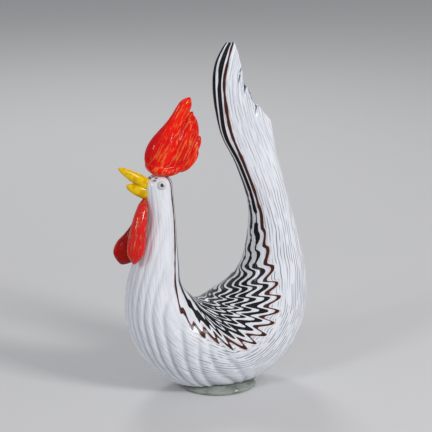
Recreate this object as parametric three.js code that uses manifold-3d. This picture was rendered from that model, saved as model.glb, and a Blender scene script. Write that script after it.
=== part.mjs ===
// Rooster figurine of blown and hot-worked glass: a fluted white bird on a clear pressed foot, with its
// comb, beak, wattles and eyes fused on as separate bits. Millimetres, +Z up. The bird looks along -X, its
// left side is -Y, and the origin is the middle of the foot's underside.
import * as THREE from "three";
import { mergeVertices } from "three/addons/utils/BufferGeometryUtils.js";
import Module from "manifold-3d";

const wasm = await Module();
wasm.setup();

// The space left between two bits of glass that are fused together on the real bird.
const FUSE_GAP = 0.3;

// Main sizes: how high the tail's tip stands, and where the middle of the head is. The tail is measured
// down from its tip, and the neck's top, comb, beak, wattles and eyes from the middle of the head.
const HEIGHT = 352.5;
const HEAD_X = -62.8;
const HEAD_Z = 215;

// Foot: a gather of clear glass pressed flat, with a wavy rim.
const FOOT_DIAMETER = 80;
const FOOT_RIM_HEIGHT = 4;
const FOOT_HEIGHT = 7.5;
const FOOT_WAVES = 9;
const FOOT_WAVE_HEIGHT = 0.5;
const FOOT_EDGE_ROUNDING = 2;
const FOOT_SHOULDER = 0.88;
const FOOT_TOP = 0.7;

// Body: the height at which its underside was flattened, and how far the curve into that flat reaches.
const SEAT_HEIGHT = 4;
const SEAT_ROUNDING = 2.5;

// Body sections, from the head down the neck, round the belly and up the tail: where the section's centre
// is in the middle plane, the angle at which the body runs through it, its depth across the body, its width
// from side to side, and the height of its flutes.
const HEAD = { x: HEAD_X, z: HEAD_Z, heading: -88, depth: 28.5, width: 25, flute: 0.1 };
const NECK_TOP = { x: HEAD_X + 1.8, z: HEAD_Z - 31, heading: -91, depth: 30, width: 30, flute: 0.2 };
const NECK_MIDDLE = { x: -63.5, z: 159, heading: -96, depth: 38, width: 37, flute: 0.3 };
const NECK_ROOT = { x: -66, z: 136, heading: -96, depth: 46, width: 45, flute: 0.4 };
const BREAST_TOP = { x: -68.5, z: 113, heading: -87, depth: 55, width: 54, flute: 0.6 };
const BREAST = { x: -63.5, z: 88, heading: -69, depth: 69, width: 68, flute: 0.9 };
const BREAST_FOOT = { x: -50, z: 64, heading: -44, depth: 81, width: 80, flute: 1.1 };
const BELLY_FRONT = { x: -24, z: 48, heading: -16, depth: 94, width: 90, flute: 1.1 };
const BELLY_BACK = { x: 8, z: 48, heading: 12, depth: 103, width: 93, flute: 0.9 };
const RUMP_FOOT = { x: 36, z: 61.5, heading: 39, depth: 105, width: 88, flute: 0.6 };
const RUMP = { x: 52.5, z: 86.5, heading: 64, depth: 91, width: 78, flute: 0.4 };
const RUMP_TOP = { x: 59.5, z: 113, heading: 82, depth: 72, width: 67, flute: 0.3 };
const TAIL_ROOT = { x: 60.5, z: 139, heading: 94, depth: 58, width: 55, flute: 0.3 };
const TAIL_LOW = { x: 55.5, z: 186, heading: 101, depth: 43, width: 36, flute: 0.3 };
const TAIL_MIDDLE = { x: 41.8, z: HEIGHT - 119.5, heading: 107, depth: 44.5, width: 25, flute: 0.4 };
const TAIL_HIGH = { x: 31, z: HEIGHT - 86.5, heading: 108, depth: 55, width: 18, flute: 0.4 };
const TAIL_FAN = { x: 23.5, z: HEIGHT - 60.5, heading: 108, depth: 54, width: 15, flute: 0.3 };
const TAIL_TAPER = { x: 15, z: HEIGHT - 38.5, heading: 101, depth: 42, width: 13, flute: 0.2 };
const TAIL_HOOK = { x: 15, z: HEIGHT - 21.5, heading: 88, depth: 36, width: 12, flute: 0.1 };
const TAIL_TIP = { x: 17, z: HEIGHT - 7.5, heading: 81, depth: 25, width: 10, flute: 0 };
const TAIL_END = { x: 19, z: HEIGHT + 2.5, heading: 78, depth: 14, width: 8, flute: 0 };
const BODY_LINE = [
  HEAD,
  NECK_TOP,
  NECK_MIDDLE,
  NECK_ROOT,
  BREAST_TOP,
  BREAST,
  BREAST_FOOT,
  BELLY_FRONT,
  BELLY_BACK,
  RUMP_FOOT,
  RUMP,
  RUMP_TOP,
  TAIL_ROOT,
  TAIL_LOW,
  TAIL_MIDDLE,
  TAIL_HIGH,
  TAIL_FAN,
  TAIL_TAPER,
  TAIL_HOOK,
  TAIL_TIP,
  TAIL_END,
];
const CROWN_RISE = 12;

// Flutes from the ribbed mould: how many there are round the body, and how closely they crowd together
// beside the foot, as a share of their spacing on the neck.
const FLUTES = 28;
const FLUTE_CROWDING = 0.35;

// The tail's sheared edge, from its outer corner up to the tip: each feather tip in the middle plane, the
// size of the notch beside it, and how far the cut runs on past the tail.
const TAIL_CORNER = { x: 58.5, z: HEIGHT - 82.5 };
const FIRST_FEATHER = { x: 42, z: HEIGHT - 64 };
const SECOND_FEATHER = { x: 30, z: HEIGHT - 45 };
const THIRD_FEATHER = { x: 24.5, z: HEIGHT - 25.5 };
const LAST_FEATHER = { x: 22.5, z: HEIGHT - 11.5 };
const FEATHER_TIPS = [FIRST_FEATHER, SECOND_FEATHER, THIRD_FEATHER, LAST_FEATHER];
const FEATHER_NOTCH = 4;
const TAIL_TOP = { x: 17, z: HEIGHT };
const SHEAR_REACH = 40;

// Comb: lobes drawn out side by side from a roll across the crown, each thinner than the one before it by
// a share of the comb's thickness. The points, as on the beak and wattles, are measured from the middle of
// the head. `shares` gives a bit's width and thickness at equal steps from its root to its tip.
const COMB_THICKNESS = 26;
const LOBE_THINNING = 0.1;
const ROLL_SHARES = [0, 0.8, 1, 1, 1, 0.8, 0];
const FRONT_LOBE_SHARES = [0, 0.9, 0.98, 0.78, 0.46, 0.32, 0];
const LOBE_SHARES = [0, 0.8, 1, 1, 0.9, 0.7, 0];
const COMB_ROLL = { from: [-12.2, 26], bend: [-0.2, 9], to: [29.8, 21], width: 14 };
const FRONT_LOBE = {
  from: [2.8, 10],
  bend: [5.3, 46],
  to: [34.3, 86],
  width: 40,
  shares: FRONT_LOBE_SHARES,
};
const SECOND_LOBE = { from: [12.8, 13], bend: [20.8, 39], to: [36.3, 72], width: 16 };
const THIRD_LOBE = { from: [14.8, 13], bend: [26.8, 35], to: [40.8, 61], width: 16 };
const FOURTH_LOBE = { from: [15.8, 13], bend: [29.8, 29], to: [44.8, 46], width: 16 };
const BACK_LOBE = { from: [16.8, 14], bend: [30.8, 21], to: [41.8, 34], width: 15 };
const COMB_LOBES = [FRONT_LOBE, SECOND_LOBE, THIRD_LOBE, FOURTH_LOBE, BACK_LOBE];

// Beak: two bits drawn out from the face, open. Each has its root inside the head.
const BEAK_WIDTH = 9.5;
const BEAK_SHARES = [0, 1, 1, 0.9, 0.72, 0.5, 0.3, 0];
const UPPER_BEAK = { root: [-5.2, -2], bend: [-23.2, 10], tip: [-42.2, 22], height: 11.5 };
const LOWER_BEAK = { root: [-4.2, -9.5], bend: [-23.2, -2], tip: [-33.2, 3.5], height: 13 };

// Wattles: two drops that hang from the throat and spread apart.
const LEFT_WATTLE = {
  from: [-13.2, -3, -10],
  bend: [-24.7, -14, -32],
  to: [-29.7, -15, -74],
  width: 16,
  thickness: 16,
  shares: [0, 0.62, 0.75, 0.85, 0.95, 1, 0.85, 0],
};
const RIGHT_WATTLE = {
  from: [-12.2, 3, -11],
  bend: [-25.2, 14, -45],
  to: [-34.7, 14, -81],
  width: 25,
  thickness: 19,
  shares: [0, 0.38, 0.4, 0.46, 0.75, 1, 0.95, 0],
};

// Eyes: a bead with a black dot in it, on each side of the head. The rise is an angle above its centre.
const EYE_DIAMETER = 8.5;
const EYE_BULGE = 1.6;
const EYE_RISE = 16;
const EYE_BACKWARD = -0.7;
const PUPIL_DIAMETER = 4;
const PUPIL_BULGE = 0.9;

// How finely the curved faces are divided, the smallest section of a drawn bit as a share of its full one,
// and how close two corners are before they count as one.
const POINTS_PER_FLUTE = 3;
const BODY_RINGS = 42;
const CROWN_RINGS = 4;
const BIT_SIDES = 18;
const BIT_RINGS = 10;
const FOOT_SIDES = 45;
const BEAD_SIDES = 16;
const LEAST_AREA = 1e-4;
const WELD_DISTANCE = 1e-4;

/** The smooth curve through equally spaced values, at place t counted in values. */
function smoothValue(values, t) {
  const last = values.length - 1;
  const i = Math.min(Math.max(Math.floor(t), 0), last - 1);
  const f = t - i;
  const [a, b, c, d] = [i - 1, i, i + 1, i + 2].map((k) => values[Math.min(Math.max(k, 0), last)]);
  return b + 0.5 * f * (c - a + f * (2 * a - 5 * b + 4 * c - d + f * (3 * (b - c) + d - a)));
}

/** A closed surface through rings of equally many points, with a fan to a pole at each end. */
function loft(rings, firstPole, lastPole) {
  const sides = rings[0].length;
  const points = [...rings.flat(), firstPole, lastPole];
  const first = points.length - 2;
  const last = points.length - 1;
  const faces = [];
  for (let j = 0; j < sides; j++) {
    const k = (j + 1) % sides;
    faces.push(first, k, j);
    for (let i = 0; i + 1 < rings.length; i++) {
      const here = i * sides;
      const next = here + sides;
      faces.push(here + j, here + k, next + k, here + j, next + k, next + j);
    }
    const end = (rings.length - 1) * sides;
    faces.push(last, end + j, end + k);
  }
  return new THREE.BufferGeometry().setFromPoints(points).setIndex(faces);
}

/** A closed geometry as a solid that can be joined and cut. */
function solidOf(geometry) {
  const bare = geometry.clone();
  bare.deleteAttribute("normal");
  bare.deleteAttribute("uv");
  const merged = mergeVertices(bare, WELD_DISTANCE);
  const vertProperties = new Float32Array(merged.attributes.position.array);
  const triVerts = new Uint32Array(merged.index.array);
  return new wasm.Manifold(new wasm.Mesh({ numProp: 3, vertProperties, triVerts }));
}

/** A cut or joined solid as a geometry again. */
function geometryOf(solid) {
  const mesh = solid.getMesh();
  const geometry = new THREE.BufferGeometry();
  geometry.setAttribute("position", new THREE.BufferAttribute(mesh.vertProperties, 3));
  geometry.setIndex(new THREE.BufferAttribute(mesh.triVerts, 1));
  geometry.computeVertexNormals();
  return geometry;
}

const bodyLine = new THREE.CatmullRomCurve3(
  BODY_LINE.map(({ x, z }) => new THREE.Vector3(x, 0, z)),
  false,
  "catmullrom",
);

/**
 * The body's section at a share of the way from head to tail: its centre, its sizes, the direction `along`
 * the body, and the direction `inward`, to the nape, the saddle and the tail's inner edge.
 */
function sectionAt(way) {
  const t = bodyLine.getUtoTmapping(way);
  const place = t * (BODY_LINE.length - 1);
  const size = (name) => smoothValue(BODY_LINE.map((section) => section[name]), place);
  const heading = THREE.MathUtils.degToRad(size("heading"));
  const along = new THREE.Vector3(Math.cos(heading), 0, Math.sin(heading));
  return {
    centre: bodyLine.getPoint(t),
    along,
    inward: new THREE.Vector3(-along.z, 0, along.x),
    halfDepth: size("depth") / 2,
    halfWidth: size("width") / 2,
    flute: size("flute"),
  };
}

/** Lifts a point so that the body's underside ends in a flat at the given height. */
function flattenUnderside(point, height) {
  const above = (point.z - height) / SEAT_ROUNDING;
  const rounded = Math.log1p(Math.exp(-Math.abs(above))) + Math.max(above, 0);
  point.z = height + SEAT_ROUNDING * rounded;
  return point;
}

/** One ring of the skin, swollen by `grow`. The flutes crowd together where the body line runs level. */
function bodyRing(section, grow, share = 1) {
  const spread = Math.sqrt(FLUTE_CROWDING ** 2 + (1 - FLUTE_CROWDING ** 2) * section.along.z ** 2);
  const count = FLUTES * POINTS_PER_FLUTE;
  return Array.from({ length: count }, (_, j) => {
    const phase = (2 * Math.PI * j) / count;
    const angle = Math.atan2(spread * Math.sin(phase), Math.cos(phase));
    const outer = (1 - Math.cos(angle)) / 2;
    const crest = section.flute * outer * Math.cos(FLUTES * phase);
    const point = section.centre
      .clone()
      .addScaledVector(section.inward, (section.halfDepth + crest + grow) * share * Math.cos(angle));
    point.y = -(section.halfWidth + crest + grow) * share * Math.sin(angle);
    return flattenUnderside(point, SEAT_HEIGHT - grow);
  });
}

/** The body before it is sheared and set with eyes, swollen by `grow`. */
function bodySkin(grow) {
  const head = sectionAt(0);
  const rise = CROWN_RISE + grow;
  const crown = head.centre.clone().addScaledVector(head.along, -rise);
  const rings = [];
  for (let i = 1; i <= CROWN_RINGS; i++) {
    const angle = (Math.PI / 2) * (i / (CROWN_RINGS + 1));
    const centre = head.centre.clone().addScaledVector(head.along, -rise * Math.cos(angle));
    rings.push(bodyRing({ ...head, centre }, grow, Math.sin(angle)));
  }
  for (let i = 0; i <= BODY_RINGS; i++) {
    rings.push(bodyRing(sectionAt(i / BODY_RINGS), grow));
  }
  return solidOf(loft(rings, crown, sectionAt(1).centre));
}

/** What the shears take off the tail: everything beyond the feather tips, notched beside each of them. */
function shearedOff() {
  const edge = [new THREE.Vector2(TAIL_CORNER.x + SHEAR_REACH, TAIL_CORNER.z - SHEAR_REACH / 4)];
  edge.push(new THREE.Vector2(TAIL_CORNER.x, TAIL_CORNER.z));
  for (const tip of FEATHER_TIPS) {
    edge.push(new THREE.Vector2(tip.x, tip.z));
    edge.push(new THREE.Vector2(tip.x - FEATHER_NOTCH, tip.z - FEATHER_NOTCH / 2));
  }
  edge.push(new THREE.Vector2(TAIL_TOP.x, TAIL_TOP.z));
  edge.push(new THREE.Vector2(TAIL_TOP.x - SHEAR_REACH, TAIL_TOP.z));
  edge.push(new THREE.Vector2(TAIL_TOP.x - SHEAR_REACH, TAIL_TOP.z + SHEAR_REACH));
  edge.push(new THREE.Vector2(TAIL_CORNER.x + SHEAR_REACH, TAIL_TOP.z + SHEAR_REACH));
  const cut = { depth: 2 * SHEAR_REACH, bevelEnabled: false };
  const slab = new THREE.ExtrudeGeometry(new THREE.Shape(edge), cut);
  slab.rotateX(Math.PI / 2).translate(0, SHEAR_REACH, 0);
  return solidOf(slab);
}

/** A bit of glass drawn out along a bent line, in oval sections that are the given shares of its size. */
function drawnBit({ from, bend, to, width, thickness, shares }, grow = 0) {
  const line = new THREE.QuadraticBezierCurve3(from, bend, to);
  const rings = [];
  for (let i = 1; i < BIT_RINGS; i++) {
    // The rings stand closer together towards the ends, where the bit is rounded.
    const t = (1 - Math.cos((Math.PI * i) / BIT_RINGS)) / 2;
    const place = t * (shares.length - 1);
    const area = smoothValue(shares.map((share) => share ** 2), place);
    const share = Math.sqrt(Math.max(area, LEAST_AREA));
    const centre = line.getPoint(t);
    const tangent = line.getTangent(t);
    const across = new THREE.Vector3(0, 1, 0).cross(tangent).normalize();
    const side = tangent.clone().cross(across);
    rings.push(
      Array.from({ length: BIT_SIDES }, (_, j) => {
        const angle = (2 * Math.PI * j) / BIT_SIDES;
        return centre
          .clone()
          .addScaledVector(across, (share * width / 2 + grow) * Math.cos(angle))
          .addScaledVector(side, (share * thickness / 2 + grow) * Math.sin(angle));
      }),
    );
  }
  const start = from.clone().addScaledVector(line.getTangent(0), -grow);
  const end = to.clone().addScaledVector(line.getTangent(1), grow);
  return solidOf(loft(rings, start, end));
}

/** A place measured from the middle of the head. */
function fromHead(x, y, z) {
  return new THREE.Vector3(HEAD_X + x, y, HEAD_Z + z);
}

/** A bit drawn out in the middle plane, through three points of it. */
function middleBit(points, sizes, grow = 0) {
  const [from, bend, to] = points.map(([x, z]) => fromHead(x, 0, z));
  return drawnBit({ from, bend, to, ...sizes }, grow);
}

/** One part of the comb. */
function combPart({ from, bend, to, ...sizes }) {
  return middleBit([from, bend, to], sizes);
}

/** The comb: its lobes and the roll at their root, melted into one bit. */
function combBit() {
  const roll = combPart({ ...COMB_ROLL, thickness: COMB_THICKNESS, shares: ROLL_SHARES });
  return COMB_LOBES.reduce((comb, lobe, i) => {
    const thickness = COMB_THICKNESS * (1 - LOBE_THINNING * i);
    return comb.add(combPart({ shares: LOBE_SHARES, ...lobe, thickness }));
  }, roll);
}

/** One half of the beak, tapering from its root in the head to a blunt tip. */
function beakBit({ root, bend, tip, height }, grow = 0) {
  const sizes = { width: height, thickness: BEAK_WIDTH, shares: BEAK_SHARES };
  return middleBit([root, bend, tip], sizes, grow);
}

/** One wattle, hanging from the throat. */
function wattleBit({ from, bend, to, ...sizes }, grow = 0) {
  const [root, turn, end] = [from, bend, to].map((point) => fromHead(...point));
  return drawnBit({ from: root, bend: turn, to: end, ...sizes }, grow);
}

/** A round bead on the head, `raise` above its skin. The side is -1 for the left one and 1 for the right. */
function beadOnHead(side, diameter, bulge, raise, grow = 0) {
  const rise = THREE.MathUtils.degToRad(EYE_RISE);
  const backward = EYE_BACKWARD / (HEAD.depth / 2);
  const level = Math.sqrt(Math.cos(rise) ** 2 - backward ** 2);
  const half = new THREE.Vector3(HEAD.depth / 2, HEAD.width / 2, CROWN_RISE);
  const direction = new THREE.Vector3(backward, side * level, Math.sin(rise));
  const skin = new THREE.Vector3(HEAD.x, 0, HEAD.z).add(direction.clone().multiply(half));
  const outward = direction.clone().divide(half).normalize();
  const bead = new THREE.SphereGeometry(1, BEAD_SIDES, BEAD_SIDES / 2);
  bead.scale(diameter / 2 + grow, bulge + grow, diameter / 2 + grow);
  bead.applyQuaternion(new THREE.Quaternion().setFromUnitVectors(new THREE.Vector3(0, 1, 0), outward));
  bead.translate(...skin.addScaledVector(outward, raise));
  return solidOf(bead);
}

/** The foot, pressed flat below, with a wavy rim, before the body is set into it. */
function footPad() {
  const radius = FOOT_DIAMETER / 2;
  const profile = [
    [radius - FOOT_EDGE_ROUNDING, 0],
    [radius - FOOT_EDGE_ROUNDING / 5, FOOT_RIM_HEIGHT / 4],
    [radius, FOOT_RIM_HEIGHT / 2],
    [radius - FOOT_EDGE_ROUNDING / 3, FOOT_RIM_HEIGHT],
    [radius * FOOT_SHOULDER, (FOOT_RIM_HEIGHT + FOOT_HEIGHT) / 2],
    [radius * FOOT_TOP, FOOT_HEIGHT],
  ];
  const rings = profile.map(([r, z]) =>
    Array.from({ length: FOOT_SIDES }, (_, j) => {
      const angle = (2 * Math.PI * j) / FOOT_SIDES;
      const wave = FOOT_WAVE_HEIGHT * Math.cos(FOOT_WAVES * angle) * (z / FOOT_HEIGHT);
      return new THREE.Vector3((r + wave) * Math.cos(angle), (r + wave) * Math.sin(angle), z + wave);
    }),
  );
  rings[0].forEach((point) => point.setZ(0));
  return solidOf(loft(rings, new THREE.Vector3(0, 0, 0), new THREE.Vector3(0, 0, FOOT_HEIGHT)));
}

const WHITE_GLASS = { color: 0xe8ebf0, roughness: 0.12, metalness: 0 };
const CLEAR_GLASS = { color: 0x9aa39c, roughness: 0.08, metalness: 0 };
const RED_GLASS = { color: 0xd01408, roughness: 0.15, metalness: 0 };
const YELLOW_GLASS = { color: 0xe9c400, roughness: 0.15, metalness: 0 };
const GREY_GLASS = { color: 0xb9bbb4, roughness: 0.1, metalness: 0 };
const BLACK_GLASS = { color: 0x0c0b0c, roughness: 0.1, metalness: 0 };

const figurine = new THREE.Group();

/** Adds one finished bit of glass to the figurine. */
function addBit(name, solid, glass) {
  const mesh = new THREE.Mesh(geometryOf(solid), new THREE.MeshStandardMaterial(glass));
  mesh.name = name;
  figurine.add(mesh);
}

const seat = bodySkin(FUSE_GAP);
const flanks = [
  { name: "left", side: -1 },
  { name: "right", side: 1 },
];

let body = bodySkin(0).subtract(shearedOff());
for (const { name, side } of flanks) {
  const eye = beadOnHead(side, EYE_DIAMETER, EYE_BULGE, 0);
  const pupilSeat = beadOnHead(side, PUPIL_DIAMETER, PUPIL_BULGE, EYE_BULGE, FUSE_GAP);
  body = body.subtract(beadOnHead(side, EYE_DIAMETER, EYE_BULGE, 0, FUSE_GAP));
  addBit(`${name}_eye`, eye.subtract(pupilSeat), GREY_GLASS);
  addBit(`${name}_pupil`, beadOnHead(side, PUPIL_DIAMETER, PUPIL_BULGE, EYE_BULGE), BLACK_GLASS);
}
addBit("body", body, WHITE_GLASS);
addBit("foot", footPad().subtract(seat), CLEAR_GLASS);
addBit("comb", combBit().subtract(seat), RED_GLASS);

const upperSeat = beakBit(UPPER_BEAK, FUSE_GAP);
const lowerSeat = beakBit(LOWER_BEAK, FUSE_GAP);
addBit("upper_beak", beakBit(UPPER_BEAK).subtract(seat), YELLOW_GLASS);
addBit("lower_beak", beakBit(LOWER_BEAK).subtract(seat).subtract(upperSeat), YELLOW_GLASS);

const throat = seat.add(lowerSeat);
const rightWattle = wattleBit(RIGHT_WATTLE).subtract(throat);
const leftWattle = wattleBit(LEFT_WATTLE).subtract(throat.add(wattleBit(RIGHT_WATTLE, FUSE_GAP)));
addBit("right_wattle", rightWattle, RED_GLASS);
addBit("left_wattle", leftWattle, RED_GLASS);

export default figurine;
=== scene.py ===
"""Dresses the glass rooster figurine: a fluted white body of blown glass with combed threads melted into it,
a red comb and wattles with gold flecks, an open yellow beak, bead eyes and a clear pressed foot.

Sizes are in millimetres, as in the part's source, and each mesh is scaled to metres when it is finished.
The bird looks along -X, its left side is -Y, and the origin is the middle of the foot's underside.
"""

import logging
import math
from collections.abc import Callable, Sequence
from dataclasses import dataclass, field
from enum import Enum

import bmesh
import bpy
import numpy as np
from mathutils import Matrix, Vector
from mathutils.bvhtree import BVHTree


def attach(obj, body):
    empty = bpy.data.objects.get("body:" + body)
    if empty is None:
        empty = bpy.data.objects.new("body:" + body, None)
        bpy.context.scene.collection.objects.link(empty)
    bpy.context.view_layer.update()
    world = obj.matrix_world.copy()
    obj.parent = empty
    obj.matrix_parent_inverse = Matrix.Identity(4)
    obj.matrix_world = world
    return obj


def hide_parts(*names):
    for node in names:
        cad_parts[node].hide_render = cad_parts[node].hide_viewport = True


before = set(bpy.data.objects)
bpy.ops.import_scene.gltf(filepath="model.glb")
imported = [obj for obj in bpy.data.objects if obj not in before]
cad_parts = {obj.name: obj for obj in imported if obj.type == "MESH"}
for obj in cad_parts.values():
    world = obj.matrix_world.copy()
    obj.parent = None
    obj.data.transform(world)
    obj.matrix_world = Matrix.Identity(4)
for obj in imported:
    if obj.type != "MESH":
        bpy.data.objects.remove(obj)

logging.basicConfig(level=logging.INFO, format="%(message)s")
log = logging.getLogger("rooster")

MM = 0.001
WELD = 0.002

HEAD_CENTRE = Vector((-62.8, 0.0, 215.0))
TAIL_HEIGHT = 352.4


class Side(Enum):
    """The bird's own left and right, as the sign of Y."""

    LEFT = -1
    RIGHT = 1


class Glass(Enum):
    """The record's material slots."""

    WHITE = "white_glass"
    CLEAR = "clear_glass"
    RED = "red_glass"
    YELLOW = "yellow_glass"
    GREY = "grey_glass"
    BLACK = "black_glass"


# Curves and meshes


def smooth_values(values: np.ndarray, places: np.ndarray, run_on: bool = False) -> np.ndarray:
    """Reads the smooth curve through equally spaced values, a Catmull-Rom spline.

    Args:
        values: the values, one row for each place 0, 1, 2 and on.
        places: where to read the curve, counted in values.
        run_on: whether the curve runs straight on past its ends, and doesn't level off there.

    Returns:
        One row for each place asked for.
    """
    last = len(values) - 1
    before = 2 * values[0] - values[1] if run_on else values[0]
    after = 2 * values[-1] - values[-2] if run_on else values[-1]
    padded = np.concatenate([[before], values, [after]])
    first = np.clip(np.floor(places).astype(int), 0, last - 1)
    share = (places - first).reshape(places.shape + (1,) * (values.ndim - 1))
    a, b, c, d = (padded[first + k] for k in range(4))
    bend = 2 * a - 5 * b + 4 * c - d + share * (3 * (b - c) + d - a)
    return b + 0.5 * share * (c - a + share * bend)


def smooth_step(values: np.ndarray, start: float, end: float) -> np.ndarray:
    """Goes smoothly from 0 to 1.

    Args:
        values: what the step follows.
        start: the value at which it gives 0.
        end: the value at which it gives 1.

    Returns:
        The step for each value.
    """
    share = np.clip((values - start) / (end - start), 0, 1)
    return share * share * (3 - 2 * share)


Placed = tuple[np.ndarray, dict[str, np.ndarray]]


@dataclass
class Skin:
    """A rectangle of faces that is wrapped into a closed skin."""

    columns: int
    rows: int
    place: Callable[[np.ndarray, np.ndarray], Placed]

    def wrap(self) -> bmesh.types.BMesh:
        """Makes the rectangle, puts every corner in its place, and closes the seam and both poles.

        Returns:
            The skin in millimetres, with a UV map that runs round it in u and along it in v, and with the
            attributes that `place` gives.
        """
        skin = bmesh.new()
        skin.loops.layers.uv.new("UVMap")
        bmesh.ops.create_grid(skin, x_segments=self.columns, y_segments=self.rows, size=1, calc_uvs=True)
        flat = np.array([corner.co[:2] for corner in skin.verts])
        points, attributes = self.place(*(flat.T + 1) / 2)
        layers = {name: skin.verts.layers.float_vector.new(name) for name in attributes}
        for i, corner in enumerate(skin.verts):
            corner.co = points[i]
            for name, layer in layers.items():
                corner[layer] = attributes[name][i]
        bmesh.ops.remove_doubles(skin, verts=skin.verts, dist=WELD)
        bmesh.ops.recalc_face_normals(skin, faces=skin.faces)
        return skin


def spin_outline(outline: Sequence[tuple[float, float]], steps: int) -> bmesh.types.BMesh:
    """Turns half of an outline round the upright axis.

    Args:
        outline: how far out and how high each corner is, from the axis round to the axis again.
        steps: how many steps the turn takes.

    Returns:
        The closed shape.
    """
    shape = bmesh.new()
    corners = [shape.verts.new((out, 0, height)) for out, height in outline]
    edges = [shape.edges.new(pair) for pair in zip(corners[:-1], corners[1:])]
    bmesh.ops.spin(
        shape,
        geom=corners + edges,
        cent=(0, 0, 0),
        axis=(0, 0, 1),
        angle=2 * math.pi,
        steps=steps,
        use_merge=True,
    )
    bmesh.ops.remove_doubles(shape, verts=shape.verts, dist=WELD)
    bmesh.ops.recalc_face_normals(shape, faces=shape.faces)
    return shape


def finish_mesh(name: str, shape: bmesh.types.BMesh) -> bpy.types.Object:
    """Turns a shape in millimetres into a smooth object in metres.

    Args:
        name: the object's name.
        shape: the shape, which is freed.

    Returns:
        The object, at the origin.
    """
    bmesh.ops.scale(shape, vec=(MM, MM, MM), verts=shape.verts)
    for face in shape.faces:
        face.smooth = True
    mesh = bpy.data.meshes.new(name)
    shape.to_mesh(mesh)
    shape.free()
    piece = bpy.data.objects.new(name, mesh)
    bpy.context.scene.collection.objects.link(piece)
    return piece


def apply_modifiers(piece: bpy.types.Object) -> None:
    """Turns a piece's modifiers into its mesh.

    Args:
        piece: the piece, which keeps none of them.
    """
    seen = piece.evaluated_get(bpy.context.evaluated_depsgraph_get())
    mesh = bpy.data.meshes.new_from_object(seen)
    piece.modifiers.clear()
    piece.data = mesh
    for face in mesh.polygons:
        face.use_smooth = True


def set_in_place(piece: bpy.types.Object, node: str, material: bpy.types.Material) -> None:
    """Dresses a piece and lets it stand for its CAD node.

    Args:
        piece: the finished piece.
        node: the CAD node that it replaces.
        material: its material.
    """
    piece.data.materials.append(material)
    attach(piece, "root")
    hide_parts(node)
    log.info("%s: %d faces in %s", piece.name, len(piece.data.polygons), material.name)


# Materials

Socket = bpy.types.NodeSocket
Wire = Socket | float | Sequence[float]
Inputs = dict[str | int, Wire]
Colour = tuple[float, ...]
Span = tuple[float, float]


class Wiring:
    """Adds nodes to a node tree and joins them."""

    def __init__(self, tree: bpy.types.NodeTree) -> None:
        """Keeps the tree that the nodes go into."""
        self.tree = tree

    def node(self, kind: str, inputs: Inputs | None = None, **settings: object) -> bpy.types.Node:
        """Adds a node.

        Args:
            kind: the node's type, without "ShaderNode" before it.
            inputs: what goes into its sockets, by name or number.
            settings: its other settings.

        Returns:
            The node.
        """
        node = self.tree.nodes.new(f"ShaderNode{kind}")
        for setting, value in settings.items():
            setattr(node, setting, value)
        for socket, value in (inputs or {}).items():
            self.join(value, node.inputs[socket])
        return node

    def join(self, value: Wire, socket: Socket) -> None:
        """Puts a wire or a plain value into a socket.

        Args:
            value: another node's output, or a number, vector or colour.
            socket: the input that takes it.
        """
        if isinstance(value, Socket):
            self.tree.links.new(value, socket)
        else:
            socket.default_value = value

    def math(self, operation: str, *values: Wire) -> Socket:
        """Works out one sum."""
        return self.node("Math", dict(enumerate(values)), operation=operation).outputs[0]

    def minus(self, first: Wire, second: Wire) -> Socket:
        """Takes the second value from the first."""
        return self.math("SUBTRACT", first, second)

    def over(self, first: Wire, second: Wire) -> Socket:
        """Divides the first value by the second."""
        return self.math("DIVIDE", first, second)

    def times(self, first: Wire, *others: Wire) -> Socket:
        """Multiplies values together.

        Args:
            first: the first value.
            others: the values that it is multiplied by, one after another.

        Returns:
            Their product.
        """
        product = first
        for other in others:
            product = self.math("MULTIPLY", product, other)
        return product

    def times_plus(self, value: Wire, factor: Wire, extra: Wire) -> Socket:
        """Multiplies a value by a factor and adds something to it."""
        return self.math("MULTIPLY_ADD", value, factor, extra)

    def fade(self, value: Wire, span: Span) -> Socket:
        """Fades from 0 to 1.

        Args:
            value: the value that the fade follows.
            span: the value at which the fade gives 0, and the one at which it gives 1.

        Returns:
            The fade, which starts and ends softly.
        """
        inputs = {"Value": value, "From Min": span[0], "From Max": span[1]}
        return self.node("MapRange", inputs, interpolation_type="SMOOTHSTEP").outputs[0]

    def blend(self, share: Wire, first: Wire, second: Wire) -> Socket:
        """Blends two colours."""
        return self.node("Mix", {0: share, 6: first, 7: second}, data_type="RGBA").outputs[2]

    def noise(self, place: Wire, scale: Wire, detail: float = 2) -> Socket:
        """Reads a noise from about 0 to 1."""
        return self.node("TexNoise", {"Vector": place, "Scale": scale, "Detail": detail}).outputs[0]

    def drawn_noise(self, first: Wire, second: Wire, scales: Span, seed: float, detail: float) -> Socket:
        """Reads a noise that is drawn out in one of its two directions.

        Args:
            first: the place in the first direction.
            second: the place in the second direction.
            scales: the noise's scale in each direction.
            seed: a number of its own for each such noise, so that no two are alike.
            detail: how far the noise is broken up.

        Returns:
            The noise, from about 0 to 1.
        """
        place = self.vector(self.times(first, scales[0]), self.times(second, scales[1]), seed)
        return self.noise(place, 1.0, detail)

    def parts(self, vector: Wire) -> tuple[Socket, ...]:
        """Takes a vector apart."""
        return tuple(self.node("SeparateXYZ", {0: vector}).outputs)

    def vector(self, *parts: Wire) -> Socket:
        """Puts a vector together."""
        return self.node("CombineXYZ", dict(enumerate(parts))).outputs[0]

    def attribute(self, name: str) -> Socket:
        """Reads a mesh's own vector attribute."""
        return self.node("Attribute", attribute_name=name).outputs["Vector"]

    def object_place(self) -> Socket:
        """Reads the place in the object, in metres."""
        return self.node("TexCoord").outputs["Object"]


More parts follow.
